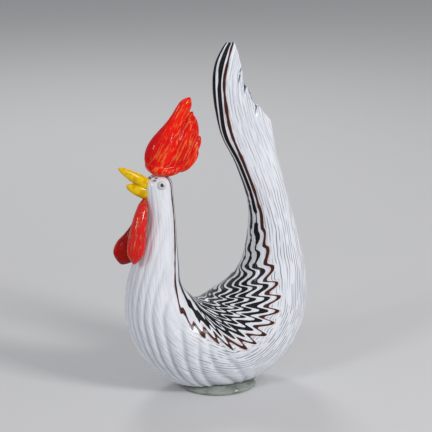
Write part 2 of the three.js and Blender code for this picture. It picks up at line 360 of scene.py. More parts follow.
def new_material(name: str, glass: dict[str, Wire]) -> tuple[bpy.types.Material, Wiring, bpy.types.Node]:
    """Makes a material with a Principled shader.

    Args:
        name: the material's name.
        glass: plain values for the shader's sockets.

    Returns:
        The material, its wiring and its shader.
    """
    material = bpy.data.materials.new(name)
    material.use_nodes = True
    wiring = Wiring(material.node_tree)
    shader = material.node_tree.nodes["Principled BSDF"]
    for socket, value in glass.items():
        shader.inputs[socket].default_value = value
    return material, wiring, shader


RIPPLE_GROUP = "glass_ripple"
FINE_RIPPLES = 3.1
FINE_SHARE = 0.3


def ripple_group() -> bpy.types.NodeTree:
    """Makes the effect that every bit of glass shares: the soft ripples of a hand-worked surface.

    Returns:
        The node group, with its ripples' size in and their height out.
    """
    tree = bpy.data.node_groups.new(RIPPLE_GROUP, "ShaderNodeTree")
    tree.interface.new_socket("Ripples per metre", in_out="INPUT", socket_type="NodeSocketFloat")
    tree.interface.new_socket("Height", in_out="OUTPUT", socket_type="NodeSocketFloat")
    wiring = Wiring(tree)
    given = tree.nodes.new("NodeGroupInput")
    place = wiring.object_place()
    broad = wiring.noise(place, given.outputs[0], detail=1.5)
    fine = wiring.noise(place, wiring.times(given.outputs[0], FINE_RIPPLES), detail=1)
    result = tree.nodes.new("NodeGroupOutput")
    wiring.join(wiring.times_plus(fine, FINE_SHARE, broad), result.inputs[0])
    return tree


def ripple_normal(wiring: Wiring, ripples: float, depth: float, extra: Wire = 0.0) -> Socket:
    """Bends the surface's light by the shared ripples.

    Args:
        wiring: the material's wiring.
        ripples: how many there are in a metre.
        depth: how deep they are, in metres.
        extra: more height to add to them.

    Returns:
        The normal.
    """
    group = wiring.node("Group", node_tree=bpy.data.node_groups.get(RIPPLE_GROUP) or ripple_group())
    group.inputs["Ripples per metre"].default_value = ripples
    height = wiring.math("ADD", group.outputs["Height"], extra)
    bump = wiring.node("Bump", {"Strength": 1.0, "Distance": depth, "Height": height})
    return bump.outputs["Normal"]


class Flow:
    """The body's own measures, which its mesh hands to the material.

    `row` counts the threads outward, and `tooth` counts the comb's teeth. `pulled` is how many rows the comb
    pulled the threads by and `pull` how many millimetres. `along` is the length along the body and `across`
    the way outward from the brown thread, in millimetres, and `rows_per_mm` is how close the rows are.
    `crest` is the ribs' height. `beside_slit` and `down_slit` place the nearest slit in the tail's edge.
    """

    def __init__(self, wiring: Wiring) -> None:
        """Reads the attributes.

        Args:
            wiring: the material's wiring.
        """
        self.row, self.tooth, self.pulled = wiring.parts(wiring.attribute("threads"))
        self.along, self.across, self.rows_per_mm = wiring.parts(wiring.attribute("flow"))
        self.pull = wiring.parts(wiring.attribute("combing"))[0]
        self.crest = wiring.parts(wiring.attribute("relief"))[0]
        self.beside_slit, self.down_slit, _ = wiring.parts(wiring.attribute("slits"))


@dataclass(frozen=True)
class Zigzag:
    """The teeth that the comb drew through the threads.

    `inner_corner` is how far from one tip to the next the inner corner lies, `bluntness` cuts the tips off,
    and `rounding` is how much of the rest is a soft wave.
    """

    inner_corner: float = 0.66
    bluntness: float = 1.18
    rounding: float = 0.85

    def draw(self, wiring: Wiring, flow: Flow) -> Socket:
        """Draws the teeth.

        Args:
            wiring: the material's wiring.
            flow: the body's measures.

        Returns:
            1 at each tooth's tip and -1 at the inner corner, which is nearer the next tip.
        """
        place = wiring.math("FRACT", flow.tooth)
        down = wiring.over(place, self.inner_corner)
        up = wiring.over(wiring.minus(1.0, place), 1 - self.inner_corner)
        sharp = wiring.times_plus(wiring.math("MINIMUM", down, up), -2.0 * self.bluntness, self.bluntness)
        sharp = wiring.math("MINIMUM", sharp, 1.0)
        wave = wiring.math("SINE", wiring.times(sharp, math.pi / 2))
        return wiring.times_plus(wave, self.rounding, wiring.times(sharp, 1 - self.rounding))


@dataclass(frozen=True)
class DrawnThreads:
    """The threads as masks: all of them, the brown one alone, a band round that one, and the combed row."""

    thread: Socket
    brown: Socket
    rim: Socket
    combed: Socket


@dataclass(frozen=True)
class Threads:
    """The six threads, with the brown one last.

    Widths are in millimetres, and `widest` is in rows. The threads swell and thin out at random. Below the
    tail they are slim and broken, and up the tail the fourth one is broad. `neck`, `slim_from` and `tail` are
    the lengths along the body over which that sets in. Each loss and gain is a share of the width.
    """

    black_width: float = 3.8
    brown_width: float = 2.8
    brown_row: float = 6.0
    same_row: float = 0.4
    widest: float = 0.36
    soft_edge: float = 0.25
    edge_fade: Span = (-1.0, 1.0)
    rim_width: float = 1.9
    rim_fade: Span = (-2.0, 2.0)
    swell_scales: Span = (0.045, 3.3)
    swell_seed: float = 0.0
    swell: float = 2.2
    swell_offset: float = -0.1
    swell_most: float = 2.1
    brown_swells_less: float = 1.0
    slimmer_at_tips: float = 0.1
    neck: Span = (175.0, 110.0)
    brown_loss_on_neck: float = 0.45
    slim_from: Span = (290.0, 335.0)
    slim_loss: float = 0.35
    gap_scales: Span = (0.11, 5.1)
    gap_seed: float = 4.0
    gap_noise: Span = (0.56, 0.34)
    gap_loss: float = 0.68
    tail: Span = (385.0, 420.0)
    broad_row: float = 4.0
    broad_gain: float = 1.1
    brown_loss_on_tail: float = 0.35

    def swelling(self, wiring: Wiring, flow: Flow, nearest: Socket, brown: Socket, zigzag: Socket) -> Socket:
        """Lets the threads swell and thin out along their way.

        Args:
            wiring: the material's wiring.
            flow: the body's measures.
            nearest: the nearest thread's row.
            brown: 1 on the brown thread.
            zigzag: how the comb pulled them.

        Returns:
            What the threads' width is multiplied by.
        """
        noise = wiring.drawn_noise(flow.along, nearest, self.swell_scales, self.swell_seed, detail=2)
        swelling = wiring.times_plus(noise, self.swell, self.swell_offset)
        swelling = wiring.times(swelling, wiring.times_plus(zigzag, -self.slimmer_at_tips, 1.0))
        most = wiring.times_plus(brown, -self.brown_swells_less, self.swell_most)
        return wiring.math("MINIMUM", swelling, most)

    def breadth(self, wiring: Wiring, flow: Flow, nearest: Socket, brown: Socket) -> Socket:
        """Makes the threads broad or slim in different parts of the body.

        Args:
            wiring: the material's wiring.
            flow: the body's measures.
            nearest: the nearest thread's row.
            brown: 1 on the brown thread.

        Returns:
            What the threads' width is multiplied by.
        """
        on_tail = wiring.fade(flow.along, self.tail)
        on_neck = wiring.times(brown, wiring.fade(flow.along, self.neck))
        slim = wiring.minus(wiring.fade(flow.along, self.slim_from), on_tail)
        broad_one = wiring.math("COMPARE", nearest, self.broad_row, self.same_row)
        breadth = wiring.times_plus(wiring.times(broad_one, on_tail), self.broad_gain, 1.0)
        breadth = wiring.times_plus(wiring.times(brown, on_tail), -self.brown_loss_on_tail, breadth)
        breadth = wiring.times_plus(on_neck, -self.brown_loss_on_neck, breadth)
        breadth = wiring.times(breadth, wiring.times_plus(slim, -self.slim_loss, 1.0))
        noise = wiring.drawn_noise(flow.along, nearest, self.gap_scales, self.gap_seed, detail=1)
        gap = wiring.times(wiring.fade(noise, self.gap_noise), slim, wiring.minus(1.0, brown))
        return wiring.times(breadth, wiring.times_plus(gap, -self.gap_loss, 1.0))

    def draw(self, wiring: Wiring, flow: Flow, zigzag: Socket) -> DrawnThreads:
        """Draws the threads.

        Args:
            wiring: the material's wiring.
            flow: the body's measures.
            zigzag: how the comb pulled them.

        Returns:
            The threads after combing.
        """
        combed = wiring.minus(flow.row, wiring.times(flow.pulled, zigzag))
        nearest = wiring.math("MINIMUM", wiring.math("ROUND", combed), self.brown_row)
        off = wiring.math("ABSOLUTE", wiring.minus(combed, nearest))
        brown = wiring.math("COMPARE", nearest, self.brown_row, self.same_row)
        width = wiring.times_plus(brown, self.brown_width - self.black_width, self.black_width)
        breadth = self.breadth(wiring, flow, nearest, brown)
        swelling = self.swelling(wiring, flow, nearest, brown, zigzag)
        width = wiring.times(width, breadth, swelling, flow.rows_per_mm)
        width = wiring.math("MINIMUM", width, self.widest)
        soft = wiring.times(flow.rows_per_mm, self.soft_edge)
        thread = wiring.fade(wiring.over(wiring.minus(width, off), soft), self.edge_fade)
        rim = wiring.over(wiring.minus(wiring.times(width, self.rim_width), off), soft)
        rim = wiring.times(wiring.fade(rim, self.rim_fade), brown)
        return DrawnThreads(thread, brown, rim, combed)


@dataclass(frozen=True)
class Hairlines:
    """The fine broken lines that run along the body outside the threads.

    They lie `per_mm` to a millimetre and drift to the side as they go. Past the rump their dashes are longer.
    `flank` and `tail` are lengths along the body, `outside` is in rows, and `belly_height` is in metres.
    """

    per_mm: float = 0.35
    drift: float = 3.0
    drift_scales: Span = (0.04, 0.02)
    drift_seed: float = 3.0
    line: Span = (0.08, 0.2)
    kinked: Span = (16.0, 0.0)
    kink: float = 0.25
    dashes_per_mm: float = 0.085
    longer_dashes: float = 0.045
    rump: float = 290.0
    line_seed: float = 7.3
    shown: Span = (0.40, 0.56)
    outside: Span = (6.25, 6.5)
    breast_strength: float = 0.10
    flank: Span = (120.0, 215.0)
    flank_gain: float = 0.72
    tail: Span = (350.0, 430.0)
    tail_loss: float = 0.38
    belly_height: Span = (0.004, 0.042)

    def draw(self, wiring: Wiring, flow: Flow, zigzag: Socket, combed: Socket) -> Socket:
        """Draws the hairlines.

        Args:
            wiring: the material's wiring.
            flow: the body's measures.
            zigzag: how the comb pulled the threads.
            combed: the row after combing.

        Returns:
            The hairlines, with their strength.
        """
        kink = wiring.times(flow.pull, wiring.fade(flow.across, self.kinked), zigzag)
        across = wiring.times_plus(kink, -self.kink, flow.across)
        drift = wiring.drawn_noise(across, flow.along, self.drift_scales, self.drift_seed, detail=2)
        wander = wiring.times_plus(drift, self.drift, wiring.times(across, self.per_mm))
        off = wiring.math("ABSOLUTE", wiring.minus(wiring.math("FRACT", wander), 0.5))
        line = wiring.minus(1.0, wiring.fade(off, self.line))
        past_rump = wiring.math("MAXIMUM", wiring.minus(flow.along, self.rump), 0.0)
        dash = wiring.times_plus(past_rump, -self.longer_dashes, wiring.times(flow.along, self.dashes_per_mm))
        number = wiring.times(wiring.math("FLOOR", wander), self.line_seed)
        shown = wiring.fade(wiring.noise(wiring.vector(number, dash, 0.0), 1.0, detail=1), self.shown)
        outside = wiring.fade(combed, self.outside)
        return wiring.times(line, shown, outside, self.strength(wiring, flow))

    def strength(self, wiring: Wiring, flow: Flow) -> Socket:
        """Says how strong the hairlines are: faint on the breast, and none where the foot begins.

        Args:
            wiring: the material's wiring.
            flow: the body's measures.

        Returns:
            Their strength, up to about 0.8.
        """
        on_flank = wiring.fade(flow.along, self.flank)
        on_tail = wiring.fade(flow.along, self.tail)
        strength = wiring.times_plus(on_flank, self.flank_gain, self.breast_strength)
        strength = wiring.times_plus(on_tail, -self.tail_loss, strength)
        height = wiring.parts(wiring.object_place())[2]
        return wiring.times(strength, wiring.fade(height, self.belly_height))


@dataclass(frozen=True)
class CrownStrokes:
    """The brown strokes that the threads' ends leave in front of the comb. Places are in metres."""

    x: float = -0.0695
    z: float = 0.2265
    reach: Span = (0.0060, 0.0035)
    scales: tuple[float, float, float] = (200.0, 300.0, 700.0)
    stroke: Span = (0.44, 0.56)

    def draw(self, wiring: Wiring) -> Socket:
        """Draws the strokes.

        Args:
            wiring: the material's wiring.

        Returns:
            The strokes.
        """
        place = wiring.parts(wiring.object_place())
        off = wiring.vector(wiring.minus(place[0], self.x), 0.0, wiring.minus(place[2], self.z))
        away = wiring.node("VectorMath", {0: off}, operation="LENGTH").outputs["Value"]
        squeezed = wiring.vector(*map(wiring.times, place, self.scales))
        stroke = wiring.fade(wiring.noise(squeezed, 1.0), self.stroke)
        return wiring.times(wiring.fade(away, self.reach), stroke)


@dataclass(frozen=True)
class ThreadedGlass:
    """Opaque white glass with combed threads on the back and tail, and hairlines over the rest."""

    white: Colour = (0.86, 0.88, 0.93, 1)
    streak: Colour = (0.64, 0.68, 0.77, 1)
    # Painted shade: the grey that darkens the valleys between the ribs, which also stands for the thinner
    # glass there.
    valley_shade: Colour = (0.44, 0.48, 0.54, 1)
    black: Colour = (0.004, 0.003, 0.005, 1)
    brown: Colour = (0.055, 0.012, 0.008, 1)
    edging: Colour = (0.62, 0.40, 0.34, 1)
    # The hairlines' colour, which is also the colour of the slits' painted shade.
    hairline: Colour = (0.12, 0.13, 0.17, 1)
    zigzag: Zigzag = Zigzag()
    threads: Threads = Threads()
    hairlines: Hairlines = Hairlines()
    crown_strokes: CrownStrokes = CrownStrokes()
    # The slits' painted shade: how wide it is to the side and how it fades downward.
    slit_side: Span = (1.2, 0.4)
    slit_down: Span = (1.0, 0.1)
    streak_scales: Span = (0.55, 0.025)
    streak_seed: float = 8.0
    streak_noise: Span = (0.42, 0.66)
    streak_share: float = 0.5
    tail_tip: Span = (430.0, 500.0)
    tip_streak_gain: float = 0.4
    # How the valleys' painted shade follows the ribs' height, and how strong it is.
    valley_shade_crest: Span = (0.2, -1.2)
    valley_shade_share: float = 0.7
    edging_scale: float = 90.0
    edging_noise: Span = (0.45, 0.6)
    edging_share: float = 0.5
    roughness: float = 0.18
    specular: float = 0.12
    coat: float = 0.2
    coat_roughness: float = 0.06
    ripples: float = 60.0
    ripple_depth: float = 0.0006
    streak_sinks: float = 0.3
    thread_rises: float = 0.15

    def slits(self, wiring: Wiring, flow: Flow) -> Socket:
        """Draws painted shade for the slits in the tail's edge: dark lines, not cuts in the mesh, that fade
        out downward.
        """
        narrow = wiring.fade(wiring.math("ABSOLUTE", flow.beside_slit), self.slit_side)
        return wiring.times(narrow, wiring.fade(flow.down_slit, self.slit_down))

    def streaks(self, wiring: Wiring, flow: Flow) -> Socket:
        """Draws the soft streaks that the glass took when it was drawn out."""
        noise = wiring.drawn_noise(flow.across, flow.along, self.streak_scales, self.streak_seed, detail=3)
        return wiring.fade(noise, self.streak_noise)

    def skin(self, wiring: Wiring, flow: Flow, streak: Socket) -> Socket:
        """Colours the white skin under the threads and hairlines.

        Args:
            wiring: the material's wiring.
            flow: the body's measures.
            streak: the streaks.

        Returns:
            The colour, greyer in the streaks, and darkened in the valleys between the ribs by painted shade,
            which also stands for the thinner, greyer glass there.
        """
        at_tip = wiring.fade(flow.along, self.tail_tip)
        share = wiring.times_plus(at_tip, self.tip_streak_gain, self.streak_share)
        colour = wiring.blend(wiring.times(streak, share), self.white, self.streak)
        # Painted shade: darker in the valleys between the ribs, partly for the thinner, greyer glass there.
        painted_valley_shade = wiring.fade(flow.crest, self.valley_shade_crest)
        return wiring.blend(wiring.times(painted_valley_shade, self.valley_shade_share), colour, self.valley_shade)

    def build(self) -> bpy.types.Material:
        """Makes the material.

        Returns:
            The material, which reads the body's attributes through `Flow`.
        """
        values = {
            "Roughness": self.roughness,
            "Specular IOR Level": self.specular,
            "Coat Weight": self.coat,
            "Coat Roughness": self.coat_roughness,
        }
        material, wiring, shader = new_material("threaded_white_glass", values)
        flow = Flow(wiring)
        zigzag = self.zigzag.draw(wiring, flow)
        drawn = self.threads.draw(wiring, flow, zigzag)
        hairline = self.hairlines.draw(wiring, flow, zigzag, drawn.combed)
        # Painted shade: the slits are dark lines in the colour, drawn with the hairlines, not cuts in the
        # mesh.
        hairline_and_slit_shade = wiring.math("MAXIMUM", hairline, self.slits(wiring, flow))
        streak = self.streaks(wiring, flow)
        patch = wiring.fade(wiring.noise(wiring.object_place(), self.edging_scale), self.edging_noise)
        colour = wiring.blend(hairline_and_slit_shade, self.skin(wiring, flow, streak), self.hairline)
        colour = wiring.blend(wiring.times(drawn.rim, patch, self.edging_share), colour, self.edging)
        colour = wiring.blend(drawn.thread, colour, wiring.blend(drawn.brown, self.black, self.brown))
        colour = wiring.blend(self.crown_strokes.draw(wiring), colour, self.brown)
        wiring.join(colour, shader.inputs["Base Color"])
        height = wiring.times_plus(streak, -self.streak_sinks, wiring.times(drawn.thread, self.thread_rises))
        wiring.join(ripple_normal(wiring, self.ripples, self.ripple_depth, height), shader.inputs["Normal"])
        return material


@dataclass(frozen=True)
class FleckedGlass:
    """Glossy red glass with gold flecks in streaks.

    The streaks run in the middle plane and lean by `lean` degrees. Ahead of `front_edge`, which is measured
    square to them in metres, the glass is plain and deep red.
    """

    name: str
    red: Colour = (0.94, 0.008, 0.003, 1)
    deep: Colour = (0.74, 0.001, 0.003, 1)
    gold: Colour = (0.98, 0.34, 0.07, 1)
    lean: float = 60.0
    front_edge: Span = (0.189, 0.180)
    flecks: float = 0.75
    roughness: float = 0.2
    specular: float = 0.03
    coat: float = 0.2
    coat_roughness: float = 0.04
    ripples: float = 110.0
    ripple_depth: float = 0.0007
    stretch: float = 0.12
    streak_scale: float = 480.0
    streak_noise: Span = (0.48, 0.64)
    streak_height: float = 0.45
    cloud_scale: float = 80.0
    cloud_noise: Span = (0.36, 0.62)
    speck_scale: float = 1300.0
    speck_noise: Span = (0.48, 0.6)
    speck_share: float = 0.75

    def build(self) -> bpy.types.Material:
        """Makes the material.

        Returns:
            The material.
        """
        values = {
            "Roughness": self.roughness,
            "Specular IOR Level": self.specular,
            "Coat Weight": self.coat,
            "Coat Roughness": self.coat_roughness,
        }
        material, wiring, shader = new_material(self.name, values)
        turn = (0.0, math.radians(self.lean), 0.0)
        turned = wiring.node("Mapping", {"Vector": wiring.object_place(), "Rotation": turn}).outputs[0]
        drawn = wiring.node("Mapping", {"Vector": turned, "Scale": (self.stretch, 1.0, 1.0)}).outputs[0]
        streak = wiring.fade(wiring.noise(drawn, self.streak_scale, detail=3), self.streak_noise)
        cloud = wiring.fade(wiring.noise(drawn, self.cloud_scale), self.cloud_noise)
        speck = wiring.fade(wiring.noise(wiring.object_place(), self.speck_scale), self.speck_noise)
        inside = wiring.fade(wiring.parts(turned)[2], self.front_edge)
        gold = wiring.times_plus(speck, self.speck_share, 1 - self.speck_share)
        gold = wiring.times(gold, streak, inside, self.flecks)
        colour = wiring.blend(wiring.times(cloud, inside), self.deep, self.red)
        wiring.join(wiring.blend(gold, colour, self.gold), shader.inputs["Base Color"])
        grooves = wiring.times(streak, self.streak_height)
        wiring.join(ripple_normal(wiring, self.ripples, self.ripple_depth, grooves), shader.inputs["Normal"])
        return material


@dataclass(frozen=True)
class PlainGlass:
    """Glass of one colour, with clouds of a second one and a rippled surface. On the beak and eyes the clouds
    are the glass's own uneven tone; on the foot they are painted light and shade.
    """

    name: str
    colour: Colour
    cloud: Colour
    roughness: float = 0.10
    ior: float = 1.5
    transmission: float = 0.0
    specular: float = 0.5
    coat: float = 0.3
    coat_roughness: float = 0.04
    cloud_scale: float = 80.0
    cloud_noise: Span = (0.4, 0.7)
    ripples: float = 120.0
    ripple_depth: float = 0.0004

    def build(self) -> bpy.types.Material:
        """Makes the material.

        Returns:
            The material.
        """
        values = {
            "Roughness": self.roughness,
            "IOR": self.ior,
            "Transmission Weight": self.transmission,
            "Specular IOR Level": self.specular,
            "Coat Weight": self.coat,
            "Coat Roughness": self.coat_roughness,
        }
        material, wiring, shader = new_material(self.name, values)
        cloud = wiring.fade(wiring.noise(wiring.object_place(), self.cloud_scale, detail=3), self.cloud_noise)
        wiring.join(wiring.blend(cloud, self.colour, self.cloud), shader.inputs["Base Color"])
        wiring.join(ripple_normal(wiring, self.ripples, self.ripple_depth), shader.inputs["Normal"])
        return material


# The blown body


@dataclass(frozen=True)
class Section:
    """A section of the body: its centre, the angle at which the body runs through it and its sizes.

    `threads` are the places of the six threads, in degrees round the section from the middle line, with the
    brown one last. Where a thread has run over the middle line its place is below 0. `pull` is how far the
    comb pulled them to either side, and `slide` is how far over the threads of the left side run before they
    meet those of the right, both in degrees. `flute` is how high the mould's ribs stand, as a share.
    """

    x: float
    z: float
    heading: float
    depth: float
    width: float
    flute: float
    threads: tuple[float, ...]
    pull: float = 0.0
    slide: float = 0.0


@dataclass(frozen=True)
class CombStrokes:
    """Where the comb was drawn through the threads.

    Over the saddle and the rump its strokes run straight out from a pole. `directions` are those of the
    teeth's tips, from the tail's foot round to the breast, and `first` is the number of the first of them.
    Up the neck the strokes lean with the body, and `lengths` are where the last teeth's tips lie along it.
    """

    x: float = -32.0
    z: float = 94.0
    first: int = -4
    directions: tuple[float, ...] = (
        60, 50, 41, 33, 22, 11.5, 2.3, -7.5, -16, -26.3, -36, -44.5, -56, -68.5, -90
    )
    lengths: tuple[float, ...] = (187, 169, 151, 126, 95, 60)
    last_tooth: int = 9
    spacing: float = 18.0
    overlap: float = 0.6
    lean: float = 0.9
    lean_from: float = 68.0
    furthest_direction: float = 120.0
    full_strength: float = 24.0
    least_strength: float = 0.2

    def strength(self, plane: np.ndarray) -> np.ndarray:
        """Says how much of its pull the comb has at places in the middle plane, growing out from the pole."""
        away = np.hypot(plane[:, 0] - self.x, plane[:, 1] - self.z)
        return np.clip(away / self.full_strength, self.least_strength, 1)

    def tooth(self, plane: np.ndarray, length: np.ndarray, angle: np.ndarray) -> np.ndarray:
        """Counts the teeth, from the tail round to the neck.

        Args:
            plane: places in the middle plane.
            length: lengths along the body.
            angle: degrees round the section, from the middle line.

        Returns:
            The tooth at each place, whole at a tip and running on evenly between tips.
        """
        turn = np.degrees(np.arctan2(plane[:, 1] - self.z, plane[:, 0] - self.x))
        turn = np.where(turn > self.furthest_direction, turn - 360, turn)
        tips = -np.array(self.directions, float)
        from_pole = np.interp(-turn, tips, np.arange(len(tips)) + self.first)
        outer = length + self.lean * (self.lean_from - angle)
        lengths = np.array(self.lengths, float)
        on_neck = np.interp(-outer, -lengths, np.arange(len(lengths)) + self.last_tooth)
        below_neck = self.last_tooth + (lengths[0] - outer) / self.spacing
        on_neck = np.where(outer > lengths[0], below_neck, on_neck)
        share = smooth_step(on_neck, self.last_tooth - self.overlap, self.last_tooth + self.overlap)
        return from_pole * (1 - share) + on_neck * share


@dataclass(frozen=True)
class Ribs:
    """The ribs that the mould gave the glass, which come down the breast and gather at the foot.

    They are counted by their directions from a line that stands at `x` and leans back lower down. `valleys`
    are the directions of the valleys between them, in degrees from straight ahead. Past `twist_from` degrees
    they slant, and past `fade_from` they fade out. None show inside `thread_angle`, where the threads are.
    """

    x: float = 8.0
    lean: float = 12.0
    lean_top: float = 100.0
    lean_foot: float = 50.0
    valleys: tuple[float, ...] = (2, 5.7, 9.5, 13.5, 17.5, 22.5, 30, 38, 50, 71, 95, 125)
    twist: float = 0.4
    twist_height: float = 30.0
    twist_from: float = 38.0
    twist_to: float = 50.0
    most_twist: float = 2.0
    fade_from: float = 66.0
    fade_to: float = 110.0
    thread_angle: float = 62.0
    open_angle: float = 100.0
    depth: float = 2.0
    crease: float = 0.15
    level: float = 0.65

    def relief(self, points: np.ndarray, angle: np.ndarray) -> np.ndarray:
        """Works out the ribs' height.

        Args:
            points: places on the smooth body.
            angle: degrees round the section, from the middle line.

        Returns:
            The height, as a share of the section's rib height and above and below the smooth body.
        """
        x, y, z = points.T
        axis = self.x + self.lean * smooth_step(z, self.lean_top, self.lean_foot)
        direction = np.degrees(np.arctan2(np.abs(y), axis - x))
        past = (direction - self.twist_from) / (self.twist_to - self.twist_from)
        twist = self.twist * np.clip(past, 0, self.most_twist)
        direction = direction + twist * (z - self.twist_height)
        count = np.interp(direction, (0, *self.valleys), (-0.5, *range(len(self.valleys))))
        rib = np.hypot(np.sin(np.pi * count), self.crease) - self.level
        front = smooth_step(direction, self.fade_to, self.fade_from)
        outer = smooth_step(angle, self.thread_angle, self.open_angle)
        return self.depth * rib * front * outer


@dataclass
class BodyLine:
    """The body's bent line and the sections across it, from the middle of the head to the tail's tip."""

    sections: tuple[Section, ...] = (
        Section(-62.8, 215, -88, 28.5, 25, 0.1, (-60, -48, -34, -14, 24, 44)),
        Section(-61, 184, -91, 30, 30, 0.2, (-58, -46, -32, -12, 26, 45)),
        Section(-63.5, 159, -96, 38, 37, 0.3, (-56, -44, -28, -6, 27, 46.5)),
        Section(-66, 136, -96, 46, 45, 0.4, (-52, -38, -20, 2, 28, 54)),
        Section(-68.5, 113, -87, 55, 54, 0.6, (-42, -26, -10, 10, 31, 56), 0.6),
        Section(-63.5, 88, -69, 69, 68, 0.9, (-22, -10, 3, 18, 41, 65), 3.0),
        Section(-50, 64, -44, 81, 80, 1.1, (4, 12, 22, 33, 46, 65), 4.2),
        Section(-24, 48, -16, 94, 90, 1.1, (14, 27, 38, 46.7, 56, 68), 3.6),
        Section(8, 48, 12, 103, 93, 0.9, (12, 26, 39, 51, 64.5, 81), 5.2, 8),
        Section(36, 61.5, 39, 105, 88, 0.6, (5, 21.7, 35, 47, 63.5, 80), 7.0, 18),
        Section(52.5, 86.5, 64, 91, 78, 0.4, (-2, 14.6, 29, 43, 61.5, 78.5), 8.2, 24),
        Section(59.5, 113, 82, 72, 67, 0.3, (-22, -4, 10, 30, 47, 66), 9.0, 26),
        Section(60.5, 139, 94, 58, 55, 0.3, (-42, -25, -8, 13, 34, 56), 4.0, 26),
        Section(55.5, 186, 101, 43, 36, 0.3, (-58, -42, -22, 8, 29, 45), 1.0, 20),
        Section(41.8, 233, 107, 44.5, 25, 0.4, (-60, -45, -25, 3, 28.5, 42), 0, 16),
        Section(31, 266, 108, 55, 18, 0.4, (-60, -45, -25, 4, 26, 46.5), 0, 16),
        Section(23.5, 292, 108, 54, 15, 0.3, (-60, -45, -22, 11, 35, 50.5), 0, 16),
        Section(15, 314, 101, 42, 13, 0.2, (-60, -45, -20, 17, 45.6, 60), 0, 16),
        Section(15, 331, 88, 36, 12, 0.1, (-60, -45, -24, 9, 49.5, 67), 0, 16),
        Section(17, 345, 81, 25, 10, 0, (-60, -45, -26, 7, 51, 69), 0, 16),
        Section(19, 355, 78, 14, 8, 0, (-60, -45, -26, 7, 52, 70), 0, 16),
    )
    samples: int = 8001

    def __post_init__(self) -> None:
        """Lays out the line and measures the lengths along it."""
        self.places = np.linspace(0, len(self.sections) - 1, self.samples)
        centres = np.array([(section.x, section.z) for section in self.sections])
        self.centres = smooth_values(centres, self.places, run_on=True)
        steps = np.hypot(*np.diff(self.centres, axis=0).T)
        self.lengths = np.concatenate([[0], np.cumsum(steps)])

    def size(self, name: str, length: np.ndarray) -> np.ndarray:
        """Reads one of the sections' sizes at lengths along the body."""
        values = np.array([getattr(section, name) for section in self.sections], float)
        return smooth_values(values, np.interp(length, self.lengths, self.places))

    def frame_at(self, length: np.ndarray) -> tuple[np.ndarray, np.ndarray, np.ndarray]:
        """Finds the sections' frames.

        Args:
            length: lengths along the body.

        Returns:
            In the middle plane, the sections' centres, the directions along the body and the directions
            inward, to the nape, the saddle and the tail's inner edge.
        """
        centre = np.stack([np.interp(length, self.lengths, axis) for axis in self.centres.T], -1)
        heading = np.radians(self.size("heading", length))
        along = np.stack([np.cos(heading), np.sin(heading)], -1)
        inward = np.stack([-along[..., 1], along[..., 0]], -1)
        return centre, along, inward


